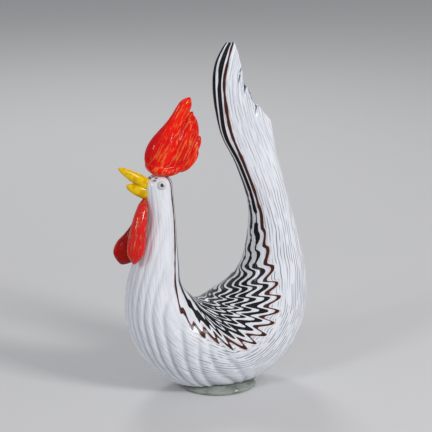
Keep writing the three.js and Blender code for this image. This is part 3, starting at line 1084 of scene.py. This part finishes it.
@dataclass(frozen=True)
class Shears:
    """What the shears left of the tail: its cut edge, the slits in that edge and the pinched glass beside it.

    The corners of `cut` and the ends of `slits` are places in the middle plane. `edge_share` is what is left
    of the tail's thickness at the cut, which is whole again `edge_taper` away from it.
    """

    cut: tuple[tuple[float, float], ...] = (
        (-23, TAIL_HEIGHT),
        (17.5, TAIL_HEIGHT),
        (21.8, 340),
        (24.7, 327.5),
        (22.7, 323.5),
        (25.2, 325.5),
        (26.3, 314.5),
        (27.3, 305),
        (30.3, 308.5),
        (34.8, 295.2),
        (38.7, 289.5),
        (39.6, 286),
        (42.5, 288.2),
        (51.4, 277.3),
        (59.8, 268.6),
        (98.5, 260),
    )
    slits: tuple[tuple[tuple[float, float], tuple[float, float]], ...] = (
        ((24.4, 327), (19.3, 319.8)),
        ((21.7, 318.6), (17.8, 306)),
        ((27.4, 306.5), (25.6, 298)),
        ((39.7, 287.5), (36.8, 276)),
    )
    edge_share: float = 0.7
    edge_taper: float = 14.0
    edge_rounding: float = 1.2
    out_of_slits: float = 99.0
    cut_samples: int = 4001
    line_samples: int = 3000

    def across(self, line: BodyLine, start: float) -> tuple[np.ndarray, np.ndarray]:
        """Follows the cut from the tail's inner edge to its outer one.

        Args:
            line: the body's line.
            start: a length along the line that lies below the whole cut.

        Returns:
            For points evenly along the cut, the length along the body at which they lie, and how far in
            they lie there, from 1 at the inner edge to -1 at the outer one.
        """
        corners = np.array(self.cut)
        travelled = np.concatenate([[0], np.cumsum(np.hypot(*np.diff(corners, axis=0).T))])
        fine = np.linspace(0, travelled[-1], self.cut_samples)
        points = np.stack([np.interp(fine, travelled, axis) for axis in corners.T], -1)
        length = np.linspace(start, line.lengths[-1], self.line_samples)
        centre, along, inward = line.frame_at(length)
        ahead = np.abs(np.einsum("ijk,jk->ij", points[:, None] - centre, along))
        nearest = ahead.argmin(1)
        half_depth = line.size("depth", length[nearest]) / 2
        height = np.einsum("ij,ij->i", points - centre[nearest], inward[nearest]) / half_depth
        on_tail = np.flatnonzero(np.abs(height) < 1)
        kept = slice(on_tail[0], on_tail[-1] + 1)
        height = np.clip(height[kept], -1, 1)
        height[0], height[-1] = 1, -1
        return length[nearest][kept], height

    def edge_distance(self, points: np.ndarray) -> np.ndarray:
        """Measures how far points are from the shears' cut.

        Args:
            points: places in the middle plane.

        Returns:
            The distances, in millimetres.
        """
        corners = np.array(self.cut)
        least = np.full(len(points), np.inf)
        for start, end in zip(corners[:-1], corners[1:]):
            run = end - start
            share = np.clip((points - start) @ run / (run @ run), 0, 1)
            least = np.minimum(least, np.linalg.norm(points - start - share[:, None] * run, axis=1))
        return least

    def slit_places(self, plane: np.ndarray) -> np.ndarray:
        """Finds the nearest of the slits that the shears left in the tail.

        Args:
            plane: places in the middle plane.

        Returns:
            For each place, how far it is to the side of the slit's line, in millimetres, how far down the
            slit it is, as a share of its length, and 0.
        """
        found = np.full((len(plane), 3), self.out_of_slits)
        least = np.full(len(plane), np.inf)
        for top, foot in self.slits:
            run = np.array(foot) - top
            share = (plane - top) @ run / (run @ run)
            side = (plane - top) @ np.array((-run[1], run[0])) / np.hypot(*run)
            off = np.hypot(side, np.maximum(np.abs(share - 0.5) - 0.5, 0) * np.hypot(*run))
            found = np.where((off < least)[:, None], np.stack([side, share, np.zeros(len(side))], -1), found)
            least = np.minimum(off, least)
        return found

    def thickness(self, plane: np.ndarray) -> np.ndarray:
        """Says how thin the tail is beside the cut, where the shears pinched it.

        Args:
            plane: places in the middle plane.

        Returns:
            The share of the thickness that is left, from 0 at the cut itself to 1.
        """
        off = self.edge_distance(plane)
        pinch = self.edge_share + (1 - self.edge_share) * smooth_step(off, 0, self.edge_taper)
        rounding = np.clip(off / self.edge_rounding, 0, 1)
        return pinch * np.sqrt(1 - (1 - rounding) ** 2)


@dataclass
class ThreadPattern:
    """Where the threads lie on the body, and how the comb pulled them."""

    line: BodyLine
    comb_strokes: CombStrokes = CombStrokes()
    arc_samples: int = 9
    least_arc: float = 0.02
    rate_step: float = 5.0

    def fold(self, length: np.ndarray, angle: np.ndarray) -> np.ndarray:
        """Folds the right side's angles over the left side's, about the line where their threads meet.

        Args:
            length: lengths along the body.
            angle: degrees round the section, from the middle line, and below 0 on the right side.

        Returns:
            The angles at which the threads are drawn.
        """
        meet = -self.line.size("slide", length)
        beyond = meet + (meet - angle) * (180 - meet) / (180 + meet)
        return np.where(angle < meet, beyond, angle)

    def row_at(self, length: np.ndarray, angle: np.ndarray) -> np.ndarray:
        """Counts the threads outward from the middle line.

        Args:
            length: lengths along the body.
            angle: degrees round the section, from the middle line.

        Returns:
            The row at each place, 6 on the brown thread and running on beyond it.
        """
        threads = self.line.size("threads", length)
        last = threads.shape[1] - 2
        row = np.zeros(len(angle))
        for i in range(last + 1):
            part = (angle - threads[:, i]) / (threads[:, i + 1] - threads[:, i])
            inside = ((part >= 0) | (i == 0)) & ((part < 1) | (i == last))
            row += np.where(inside, i + 1 + part, 0)
        return row

    def distance_out(
        self, length: np.ndarray, angle: np.ndarray, half_depth: np.ndarray, half_width: np.ndarray
    ) -> np.ndarray:
        """Measures how far round the skin places are from the brown thread.

        Args:
            length: lengths along the body.
            angle: degrees round the section, from the middle line.
            half_depth: half of the section's depth.
            half_width: half of its width.

        Returns:
            The distances in millimetres, below 0 on the threads' side.
        """
        brown = self.line.size("threads", length)[:, -1]
        turns = np.radians(brown + np.linspace(0, 1, self.arc_samples)[:, None] * (angle - brown))
        arcs = np.hypot(half_depth * np.sin(turns), half_width * np.cos(turns))
        return np.radians(angle - brown) * arcs.mean(0)

    def attributes(
        self,
        length: np.ndarray,
        angle: np.ndarray,
        plane: np.ndarray,
        half_depth: np.ndarray,
        half_width: np.ndarray,
    ) -> dict[str, np.ndarray]:
        """Works out where the threads are.

        Args:
            length: lengths along the body.
            angle: degrees round the section, from the middle line.
            plane: places in the middle plane.
            half_depth: half of the section's depth.
            half_width: half of its width.

        Returns:
            "threads": the row, the tooth and how many rows the comb pulled the threads by. "flow": the
            length along, the millimetres outward from the brown thread and the rows in a millimetre.
            "combing": how many millimetres the comb pulled them by.
        """
        pull = self.line.size("pull", length) * self.comb_strokes.strength(plane)
        row = self.row_at(length, angle)
        pulled = (self.row_at(length, angle + pull) - self.row_at(length, angle - pull)) / 2
        step = self.rate_step
        rate = (self.row_at(length, angle + step) - self.row_at(length, angle - step)) / (2 * step)
        turn = np.radians(angle)
        arc = np.hypot(half_depth * np.sin(turn), half_width * np.cos(turn)) * np.radians(1)
        arc = np.maximum(arc, self.least_arc)
        across = self.distance_out(length, angle, half_depth, half_width)
        tooth = self.comb_strokes.tooth(plane, length, angle)
        nothing = np.zeros(len(length))
        return {
            "threads": np.stack([row, tooth, pulled], -1),
            "flow": np.stack([length, across, rate / arc], -1),
            "combing": np.stack([pull * arc, nothing, nothing], -1),
        }


@dataclass
class BlownBody:
    """The white body: one bubble, drawn out at both ends, bent into a U and sheared off at the tail.

    Rows of corners run round its skin. Those of the crown close the top of the head, the next ones stand
    square to the body as far as `tail_start`, and those of the tail fan out from there to the shears' cut.
    """

    line: BodyLine = field(default_factory=BodyLine)
    shears: Shears = Shears()
    ribs: Ribs = Ribs()
    glass: ThreadedGlass = ThreadedGlass()
    crown_rise: float = 12
    crowding: float = 0.35
    seat_height: float = 4
    seat_rounding: float = 2.5
    tail_start: float = 440.0
    cut_margin: float = 40.0
    pinch_margin: float = 20.0
    columns: int = 240
    crown_rows: int = 10
    body_rows: int = 200
    tail_rows: int = 60
    tail_bunching: float = 1.5

    def __post_init__(self) -> None:
        """Lays the threads on the body's line, and finds where the shears cut across it."""
        self.threads = ThreadPattern(self.line)
        self.cut_length, self.cut_height = self.shears.across(self.line, self.tail_start - self.cut_margin)

    def share_rows(self, v: np.ndarray) -> tuple[np.ndarray, np.ndarray, np.ndarray]:
        """Shares the rows out between the crown, the body and the tail.

        Args:
            v: how far along, from 0 at the crown to 1 at the tail's cut.

        Returns:
            How far each place is through the crown, the body and the tail, from 0 to 1.
        """
        row = np.rint(v * (self.crown_rows + self.body_rows + self.tail_rows))
        crown = np.clip(row / self.crown_rows, 0, 1)
        body = np.clip((row - self.crown_rows) / self.body_rows, 0, 1)
        tail = np.clip((row - self.crown_rows - self.body_rows) / self.tail_rows, 0, 1)
        return crown, body, 1 - (1 - tail) ** self.tail_bunching

    def cut_at(self, phase: np.ndarray) -> tuple[np.ndarray, np.ndarray]:
        """Finds the shears' cut for places round the body.

        Args:
            phase: how far round, in radians from the inner line.

        Returns:
            The length along the body at which each is cut, and how far in the cut is there.
        """
        cut = np.abs(phase) / np.pi * (len(self.cut_length) - 1)
        points = np.arange(len(self.cut_length))
        return np.interp(cut, points, self.cut_length), np.interp(cut, points, self.cut_height)

    def spread_round(
        self, phase: np.ndarray, along: np.ndarray, tail: np.ndarray, cut_height: np.ndarray
    ) -> tuple[np.ndarray, np.ndarray]:
        """Spreads the corners round the sections, closer on the side that bends most.

        Args:
            phase: how far round, in radians from the inner line.
            along: the directions along the body.
            tail: how far each place is through the tail, where the corners move over to the cut.
            cut_height: how far in the cut is.

        Returns:
            How far in each corner is, from 1 to -1, and its angle in radians from the inner line.
        """
        crowding = self.crowding**2
        spread = np.sqrt(crowding + (1 - crowding) * along[:, 1] ** 2)
        angle = np.arctan2(spread * np.sin(phase), np.cos(phase))
        height = np.cos(angle) * (1 - tail) + cut_height * tail
        return height, np.arccos(np.clip(height, -1, 1)) * np.sign(phase)

    def place(self, u: np.ndarray, v: np.ndarray) -> Placed:
        """Wraps the rectangle into the body's skin.

        Args:
            u: how far round, from 0 to 1, with the seam on the outer line.
            v: how far along, from 0 at the crown to 1 at the tail's cut.

        Returns:
            The points, one row each, and the attributes that the glass is coloured by.
        """
        phase = 2 * np.pi * u - np.pi
        crown, body, tail = self.share_rows(v)
        cut_length, cut_height = self.cut_at(phase)
        length = body * self.tail_start + tail * (cut_length - self.tail_start)
        centre, along, inward = self.line.frame_at(length)
        height, angle = self.spread_round(phase, along, tail, cut_height)

        dome = crown * np.pi / 2
        middle = centre - along * (self.crown_rise * np.cos(dome))[:, None]
        half_depth = self.line.size("depth", length) / 2 * np.sin(dome)
        half_width = self.line.size("width", length) / 2 * np.sin(dome)
        plane = middle + inward * (half_depth * height)[:, None]
        smooth_body = np.stack([plane[:, 0], half_width * np.sin(angle), plane[:, 1]], -1)
        crest = self.line.size("flute", length) * self.ribs.relief(smooth_body, np.degrees(np.abs(angle)))
        half_depth = half_depth + crest
        half_width = half_width + crest
        plane = middle + inward * (half_depth * height)[:, None]
        pinched = length > self.tail_start - self.pinch_margin
        near_cut = np.where(pinched, self.shears.thickness(plane), 1) * (tail < 1)
        y = -half_width * np.sin(angle) * near_cut
        above = (plane[:, 1] - self.seat_height) / self.seat_rounding
        z = self.seat_height + self.seat_rounding * np.logaddexp(0, above)
        folded = self.threads.fold(length, np.degrees(angle))
        threads = self.threads.attributes(length, folded, plane, half_depth, half_width)
        nothing = np.zeros(len(crest))
        relief = np.stack([crest, nothing, nothing], -1)
        attributes = {**threads, "relief": relief, "slits": self.shears.slit_places(plane)}
        return np.stack([plane[:, 0], y, z], -1), attributes

    def build(self) -> bpy.types.Object:
        """Makes the body and dresses it.

        Returns:
            The body.
        """
        skin = Skin(self.columns, self.crown_rows + self.body_rows + self.tail_rows, self.place)
        body = finish_mesh("blown_body", skin.wrap())
        set_in_place(body, "body", self.glass.build())
        return body


# Bits drawn out of hot glass


@dataclass(frozen=True)
class DrawnBit:
    """A bit of glass drawn out along a bent line from `start` to `end`, which `bend` pulls to the side.

    The three points are measured from the middle of the head. `width` is the bit's size in the middle plane
    and `thickness` its size from side to side, and `shares` are how much of both it has along the way.
    """

    start: tuple[float, float, float]
    bend: tuple[float, float, float]
    end: tuple[float, float, float]
    width: float
    thickness: float
    shares: tuple[float, ...]

    def place(self, u: np.ndarray, v: np.ndarray) -> Placed:
        """Wraps the rectangle round the bit.

        Args:
            u: how far round, from 0 to 1.
            v: how far along, from 0 at the root to 1 at the tip.

        Returns:
            The points, one row each, and no attributes.
        """
        way = (1 - np.cos(np.pi * v)) / 2
        t = way[:, None]
        head = np.array(HEAD_CENTRE)
        start, bend, end = (np.array(point) + head for point in (self.start, self.bend, self.end))
        centre = start * (1 - t) ** 2 + 2 * bend * t * (1 - t) + end * t**2
        tangent = 2 * (bend - start) * (1 - t) + 2 * (end - bend) * t
        tangent /= np.linalg.norm(tangent, axis=1)[:, None]
        across = np.cross((0, 1, 0), tangent)
        across /= np.linalg.norm(across, axis=1)[:, None]
        side = np.cross(tangent, across)
        area = smooth_values(np.array(self.shares) ** 2, way * (len(self.shares) - 1))
        share = np.sqrt(np.maximum(area, 0))
        angle = 2 * np.pi * u
        out = across * (share * self.width / 2 * np.cos(angle))[:, None]
        return centre + out + side * (share * self.thickness / 2 * np.sin(angle))[:, None], {}

    def shape(self, columns: int = 48, rows: int = 48) -> bmesh.types.BMesh:
        """Makes the bit's skin."""
        return Skin(columns, rows, self.place).wrap()


@dataclass
class Beak:
    """The open beak: two bits drawn out from the face."""

    upper: DrawnBit = DrawnBit(
        (-5.2, 0, -2), (-23.2, 0, 10), (-41.5, 0, 21.8), 11.5, 9.5, (0, 1, 1, 1, 0.93, 0.77, 0.55, 0)
    )
    lower: DrawnBit = DrawnBit(
        (-4.2, 0, -9.5), (-23.2, 0, -2), (-33.2, 0, 3.5), 13, 9.5, (0, 1, 1, 0.95, 0.84, 0.7, 0.5, 0)
    )
    glass: PlainGlass = PlainGlass(
        "beak_yellow_glass",
        (0.86, 0.57, 0.002, 1),
        (0.62, 0.35, 0.001, 1),
        specular=0.1,
        coat=0.15,
        cloud_scale=170,
    )

    def build(self) -> None:
        """Makes both halves and dresses them."""
        yellow = self.glass.build()
        for name, bit in (("upper_beak", self.upper), ("lower_beak", self.lower)):
            piece = finish_mesh(f"{name}_bit", bit.shape())
            set_in_place(piece, name, yellow)


@dataclass
class Wattles:
    """The wattles: two drops that hang from the throat. The far one, on the right, has darker red glass than
    the near one: painted shade.
    """

    left: DrawnBit = DrawnBit(
        (-14.7, -3, -11),
        (-26.7, -14, -32),
        (-31.2, -15, -73),
        17,
        17,
        (0, 0.55, 0.74, 0.86, 0.96, 1.04, 1, 0),
    )
    right: DrawnBit = DrawnBit(
        (-12.2, 3, -11),
        (-22.7, 13, -50),
        (-34.7, 14, -81),
        25,
        19,
        (0, 0.36, 0.36, 0.38, 0.66, 1, 0.98, 0),
    )
    near_glass: FleckedGlass = FleckedGlass(
        "wattle_red_glass",
        (0.84, 0.005, 0.004, 1),
        gold=(0.98, 0.46, 0.14, 1),
        lean=80,
        flecks=0.45,
        coat=0.5,
        ripples=190,
        ripple_depth=0.0024,
    )
    # Painted shade: a darker copy of the wattles' red glass for the far wattle, which hangs in shade.
    far_glass_painted_shade: FleckedGlass = FleckedGlass(
        "wattle_red_glass_painted_shade",
        (0.7, 0.002, 0.002, 1),
        (0.38, 0.001, 0.001, 1),
        lean=80,
        flecks=0.1,
        coat=0.15,
        ripples=190,
        ripple_depth=0.0024,
    )
    columns: int = 64
    rows: int = 64

    def build(self) -> None:
        """Makes both drops and dresses them."""
        near, far = self.near_glass.build(), self.far_glass_painted_shade.build()
        for name, bit, red in (("left_wattle", self.left, near), ("right_wattle", self.right, far)):
            piece = finish_mesh(f"{name}_drop", bit.shape(self.columns, self.rows))
            set_in_place(piece, name, red)


ROLL_SHARES = (0, 0.8, 1, 1, 1, 0.8, 0)
FRONT_SHARES = (0, 0.75, 0.93, 0.98, 0.93, 0.8, 0.63, 0.48, 0.39, 0.36, 0.33, 0)
LOBE_SHARES = (0, 0.8, 1, 1, 0.9, 0.7, 0)
WEB_SHARES = (0, 0.8, 1, 1, 0.97, 0.8, 0)


@dataclass
class Comb:
    """The comb: a roll across the crown, with lobes drawn out of it side by side.

    `parts` are the roll, the tall front lobe, the four lobes behind it and the web that joins them. They are
    melted together on a grid as fine as `voxel`, and smoothed.
    """

    parts: tuple[DrawnBit, ...] = (
        DrawnBit((-12.2, 0, 26), (-0.2, 0, 9), (29.8, 0, 21), 14, 26, ROLL_SHARES),
        DrawnBit((2.8, 0, 10), (5.3, 0, 46), (34.3, 0, 86), 40, 26, FRONT_SHARES),
        DrawnBit((12.8, 0, 13), (20.8, 0, 39), (36.3, 0, 72), 16, 23.4, LOBE_SHARES),
        DrawnBit((14.8, 0, 13), (26.8, 0, 35), (40.8, 0, 61), 16, 20.8, LOBE_SHARES),
        DrawnBit((15.8, 0, 13), (29.8, 0, 29), (44.8, 0, 46), 16, 18.2, LOBE_SHARES),
        DrawnBit((16.8, 0, 14), (30.8, 0, 21), (41.8, 0, 34), 15, 15.6, LOBE_SHARES),
        DrawnBit((23.8, 0, 18), (34.3, 0, 44), (30.8, 0, 72), 23, 15, WEB_SHARES),
    )
    columns: int = 64
    rows: int = 48
    voxel: float = 0.7
    smoothing: int = 8
    smoothing_factor: float = 0.5
    glass: FleckedGlass = FleckedGlass("comb_red_glass")

    def build(self) -> None:
        """Makes the comb as one skin and dresses it."""
        whole = bmesh.new()
        for part in self.parts:
            piece = part.shape(self.columns, self.rows)
            loose = bpy.data.meshes.new("part")
            piece.to_mesh(loose)
            piece.free()
            whole.from_mesh(loose)
            bpy.data.meshes.remove(loose)
        comb = finish_mesh("comb_lobes", whole)
        melt = comb.modifiers.new("melt", "REMESH")
        melt.mode = "VOXEL"
        melt.voxel_size = self.voxel * MM
        melt.use_smooth_shade = True
        flow = comb.modifiers.new("flow", "SMOOTH")
        flow.factor = self.smoothing_factor
        flow.iterations = self.smoothing
        apply_modifiers(comb)
        set_in_place(comb, "comb", self.glass.build())


@dataclass
class Eye:
    """An eye: a grey bead pressed on the head, with a black dot melted into it.

    It lies `rise` degrees above the head's middle and `backward` millimetres behind it. `half_head` is half
    of the head's length, width and height there.
    """

    side: Side
    diameter: float = 8.5
    bulge: float = 1.6
    rise: float = 16
    backward: float = -0.7
    pupil_diameter: float = 3.6
    pupil_bulge: float = 0.9
    half_head: tuple[float, float, float] = (14.25, 12.5, 12)
    outline_steps: int = 24
    turns: int = 40

    def bead(self, name: str, diameter: float, bulge: float, lift: float) -> bpy.types.Object:
        """Makes a bead by spinning half of its outline.

        Args:
            name: the object's name.
            diameter: across the bead.
            bulge: how far it stands out from its middle.
            lift: how far its middle is above the head's skin.

        Returns:
            The bead.
        """
        backward = self.backward / self.half_head[0]
        rise = math.radians(self.rise)
        level = math.sqrt(math.cos(rise) ** 2 - backward**2)
        direction = Vector((backward, self.side.value * level, math.sin(rise)))
        skin = HEAD_CENTRE + direction * Vector(self.half_head)
        outward = Vector(d / h for d, h in zip(direction, self.half_head)).normalized()
        turns = [math.pi * i / self.outline_steps for i in range(self.outline_steps + 1)]
        outline = [(math.sin(t) * diameter / 2, math.cos(t) * bulge) for t in turns]
        shape = spin_outline(outline, self.turns)
        turn = outward.to_track_quat("Z", "Y").to_matrix().to_4x4()
        bmesh.ops.transform(shape, matrix=Matrix.Translation(skin + outward * lift) @ turn, verts=shape.verts)
        return finish_mesh(name, shape)

    def build(self, grey: bpy.types.Material, black: bpy.types.Material) -> None:
        """Makes the bead and its dot and dresses them.

        Args:
            grey: the bead's glass.
            black: the dot's glass.
        """
        name = self.side.name.lower()
        bead = self.bead(f"{name}_eye_bead", self.diameter, self.bulge, 0)
        set_in_place(bead, f"{name}_eye", grey)
        dot = self.bead(f"{name}_pupil_dot", self.pupil_diameter, self.pupil_bulge, self.bulge)
        set_in_place(dot, f"{name}_pupil", black)


@dataclass
class Eyes:
    """Both eyes, of the same glass."""

    grey: PlainGlass = PlainGlass("eye_grey_glass", (0.68, 0.69, 0.68, 1), (0.52, 0.53, 0.52, 1))
    black: PlainGlass = PlainGlass("pupil_black_glass", (0.006, 0.006, 0.007, 1), (0.012, 0.011, 0.012, 1))

    def build(self) -> None:
        """Makes both eyes and dresses them."""
        grey, black = self.grey.build(), self.black.build()
        for side in Side:
            Eye(side).build(grey, black)


@dataclass
class Foot:
    """The foot: a gather of clear glass pressed flat, with the body set into it.

    Its flat top ends at `top` of the radius, and slopes by way of `shoulder` of it down to the rim. The waves
    have their whole height from `wave_reach` outwards. `fuse_gap` stays free between the foot and the body.
    """

    diameter: float = 80
    rim_height: float = 4
    height: float = 7.5
    edge_rounding: float = 2
    shoulder: float = 0.88
    top: float = 0.7
    waves: int = 9
    wave_height: float = 0.5
    wave_reach: float = 28
    fuse_gap: float = 0.3
    turns: int = 180
    rim_steps: int = 25
    underside_steps: int = 11
    top_steps: int = 39
    # Painted light and shade: the foot's pale and dark clouds stand for the bright patches and dark
    # refractions seen in clear glass.
    glass: PlainGlass = PlainGlass(
        "foot_clear_glass",
        (0.64, 0.70, 0.63, 1),
        (0.27, 0.32, 0.28, 1),
        roughness=0.05,
        transmission=0.5,
        coat=0.5,
        cloud_scale=55.0,
        ripples=70,
        ripple_depth=0.0022,
    )

    def outline(self) -> list[tuple[float, float]]:
        """Gives half of the pad's outline.

        Returns:
            How far out and how high its corners are, from the middle of the underside to that of the top.
        """
        radius = self.diameter / 2
        corners = np.array(
            [
                (radius - self.edge_rounding, 0),
                (radius - self.edge_rounding / 5, self.rim_height / 4),
                (radius, self.rim_height / 2),
                (radius - self.edge_rounding / 3, self.rim_height),
                (radius * self.shoulder, (self.rim_height + self.height) / 2),
                (radius * self.top, self.height),
            ]
        )
        rim = smooth_values(corners, np.linspace(0, len(corners) - 1, self.rim_steps + 1))
        under = [(r, 0.0) for r in np.linspace(0, rim[0][0], self.underside_steps + 1)[:-1]]
        over = [(r, self.height) for r in np.linspace(rim[-1][0], 0, self.top_steps + 1)[1:]]
        return [*under, *map(tuple, rim), *over]

    def build(self, body: bpy.types.Object) -> None:
        """Makes the pad, with its wavy rim and the seat that the body was pressed into, and dresses it.

        Args:
            body: the finished body, which stands in the seat.
        """
        shape = spin_outline(self.outline(), self.turns)
        skin = BVHTree.FromObject(body, bpy.context.evaluated_depsgraph_get())
        for corner in shape.verts:
            x, y, z = corner.co
            out = math.hypot(x, y)
            if z > 0 and out > 0:
                wave = self.wave_height * math.cos(self.waves * math.atan2(y, x)) * z / self.height
                spread = 1 + wave / out
                corner.co = (x * spread, y * spread, z + wave * min(1, out / self.wave_reach))
            if z > self.rim_height:
                below = Vector((corner.co.x * MM, corner.co.y * MM, -MM))
                print_of_body = skin.ray_cast(below, Vector((0, 0, 1)))[0]
                if print_of_body is not None:
                    corner.co.z = min(corner.co.z, print_of_body.z / MM - self.fuse_gap)
        foot = finish_mesh("pressed_foot", shape)
        set_in_place(foot, "foot", self.glass.build())


# The studio


@dataclass(frozen=True)
class Lamp:
    """A soft square lamp that looks at the figurine."""

    name: str
    place: tuple[float, float, float]
    size: float
    watts: float
    colour: tuple[float, float, float] = (1.0, 1.0, 1.0)

    def build(self, target: Vector) -> None:
        """Hangs the lamp.

        Args:
            target: the point that it looks at.
        """
        light = bpy.data.lights.new(self.name, "AREA")
        light.energy = self.watts
        light.size = self.size
        light.color = self.colour
        lamp = bpy.data.objects.new(self.name, light)
        lamp.location = self.place
        lamp.rotation_euler = (target - Vector(self.place)).to_track_quat("-Z", "Y").to_euler()
        bpy.context.scene.collection.objects.link(lamp)


@dataclass
class Studio:
    """The camera, the lamps, the pale floor and the pale surroundings."""

    target: tuple[float, float, float] = (-0.0016, 0.0, 0.1774)
    azimuth: float = -22.0
    elevation: float = 16.0
    distance: float = 1.8
    lens: float = 150.0
    sensor: float = 36.0
    view_end: float = 50.0
    floor_size: float = 12.0
    floor_squares: int = 8
    floor_shade: float = 0.97
    floor_cloud_scale: float = 2.0
    floor_roughness: float = 0.9
    floor_specular: float = 0.1
    floor_colour: Colour = (0.72, 0.72, 0.73, 1)
    surround: Colour = (0.72, 0.73, 0.75, 1)
    surround_light: float = 0.45
    lamps: tuple[Lamp, ...] = (
        Lamp("key_lamp", (0.95, -1.5, 1.05), 0.5, 20.0, (1.0, 0.98, 0.97)),
        Lamp("fill_lamp", (-1.5, -0.7, 1.1), 0.4, 6.5, (0.95, 0.98, 1.0)),
        Lamp("back_lamp", (0.3, 1.4, 1.3), 0.5, 7.0),
    )

    def build(self) -> None:
        """Sets the studio up."""
        scene = bpy.context.scene
        scene.view_settings.view_transform = "Standard"
        self.build_camera()
        self.build_floor()
        self.build_surround()
        for lamp in self.lamps:
            lamp.build(Vector(self.target))
        log.info("studio: %d lamps", len(self.lamps))

    def build_camera(self) -> None:
        """Puts the camera where the photograph was taken from."""
        camera = bpy.data.cameras.new("camera")
        camera.lens = self.lens
        camera.sensor_width = self.sensor
        camera.clip_end = self.view_end
        holder = bpy.data.objects.new("camera", camera)
        turn, rise = math.radians(self.azimuth), math.radians(self.elevation)
        back = Vector((math.sin(turn) * math.cos(rise), -math.cos(turn) * math.cos(rise), math.sin(rise)))
        holder.location = Vector(self.target) + back * self.distance
        holder.rotation_mode = "QUATERNION"
        holder.rotation_quaternion = back.to_track_quat("Z", "Y")
        bpy.context.scene.collection.objects.link(holder)
        bpy.context.scene.camera = holder

    def build_floor(self) -> None:
        """Lays the floor."""
        shape = bmesh.new()
        half = self.floor_size / 2 / MM
        bmesh.ops.create_grid(shape, x_segments=self.floor_squares, y_segments=self.floor_squares, size=half)
        floor = finish_mesh("floor", shape)
        values = {"Roughness": self.floor_roughness, "Specular IOR Level": self.floor_specular}
        material, wiring, shader = new_material("pale_floor", values)
        cloud = wiring.noise(wiring.object_place(), self.floor_cloud_scale)
        darker = (*(self.floor_shade * part for part in self.floor_colour[:3]), 1)
        wiring.join(wiring.blend(cloud, self.floor_colour, darker), shader.inputs["Base Color"])
        floor.data.materials.append(material)

    def build_surround(self) -> None:
        """Lights the surroundings evenly, and shows them pale to the camera and in the glass."""
        world = bpy.data.worlds.new("surround")
        world.use_nodes = True
        bpy.context.scene.world = world
        wiring = Wiring(world.node_tree)
        shader = world.node_tree.nodes["Background"]
        path = wiring.node("LightPath").outputs
        seen = wiring.math("MAXIMUM", path["Is Camera Ray"], path["Is Transmission Ray"])
        seen = wiring.math("MAXIMUM", seen, path["Is Glossy Ray"])
        strength = wiring.times_plus(seen, 1.0 - self.surround_light, self.surround_light)
        shader.inputs["Color"].default_value = self.surround
        wiring.join(strength, shader.inputs["Strength"])


def main() -> None:
    """Builds the pieces in order and sets up the studio."""
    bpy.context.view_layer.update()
    Studio().build()
    body = BlownBody().build()
    Foot().build(body)
    Comb().build()
    Beak().build()
    Wattles().build()
    Eyes().build()


if __name__ == "__main__":
    main()
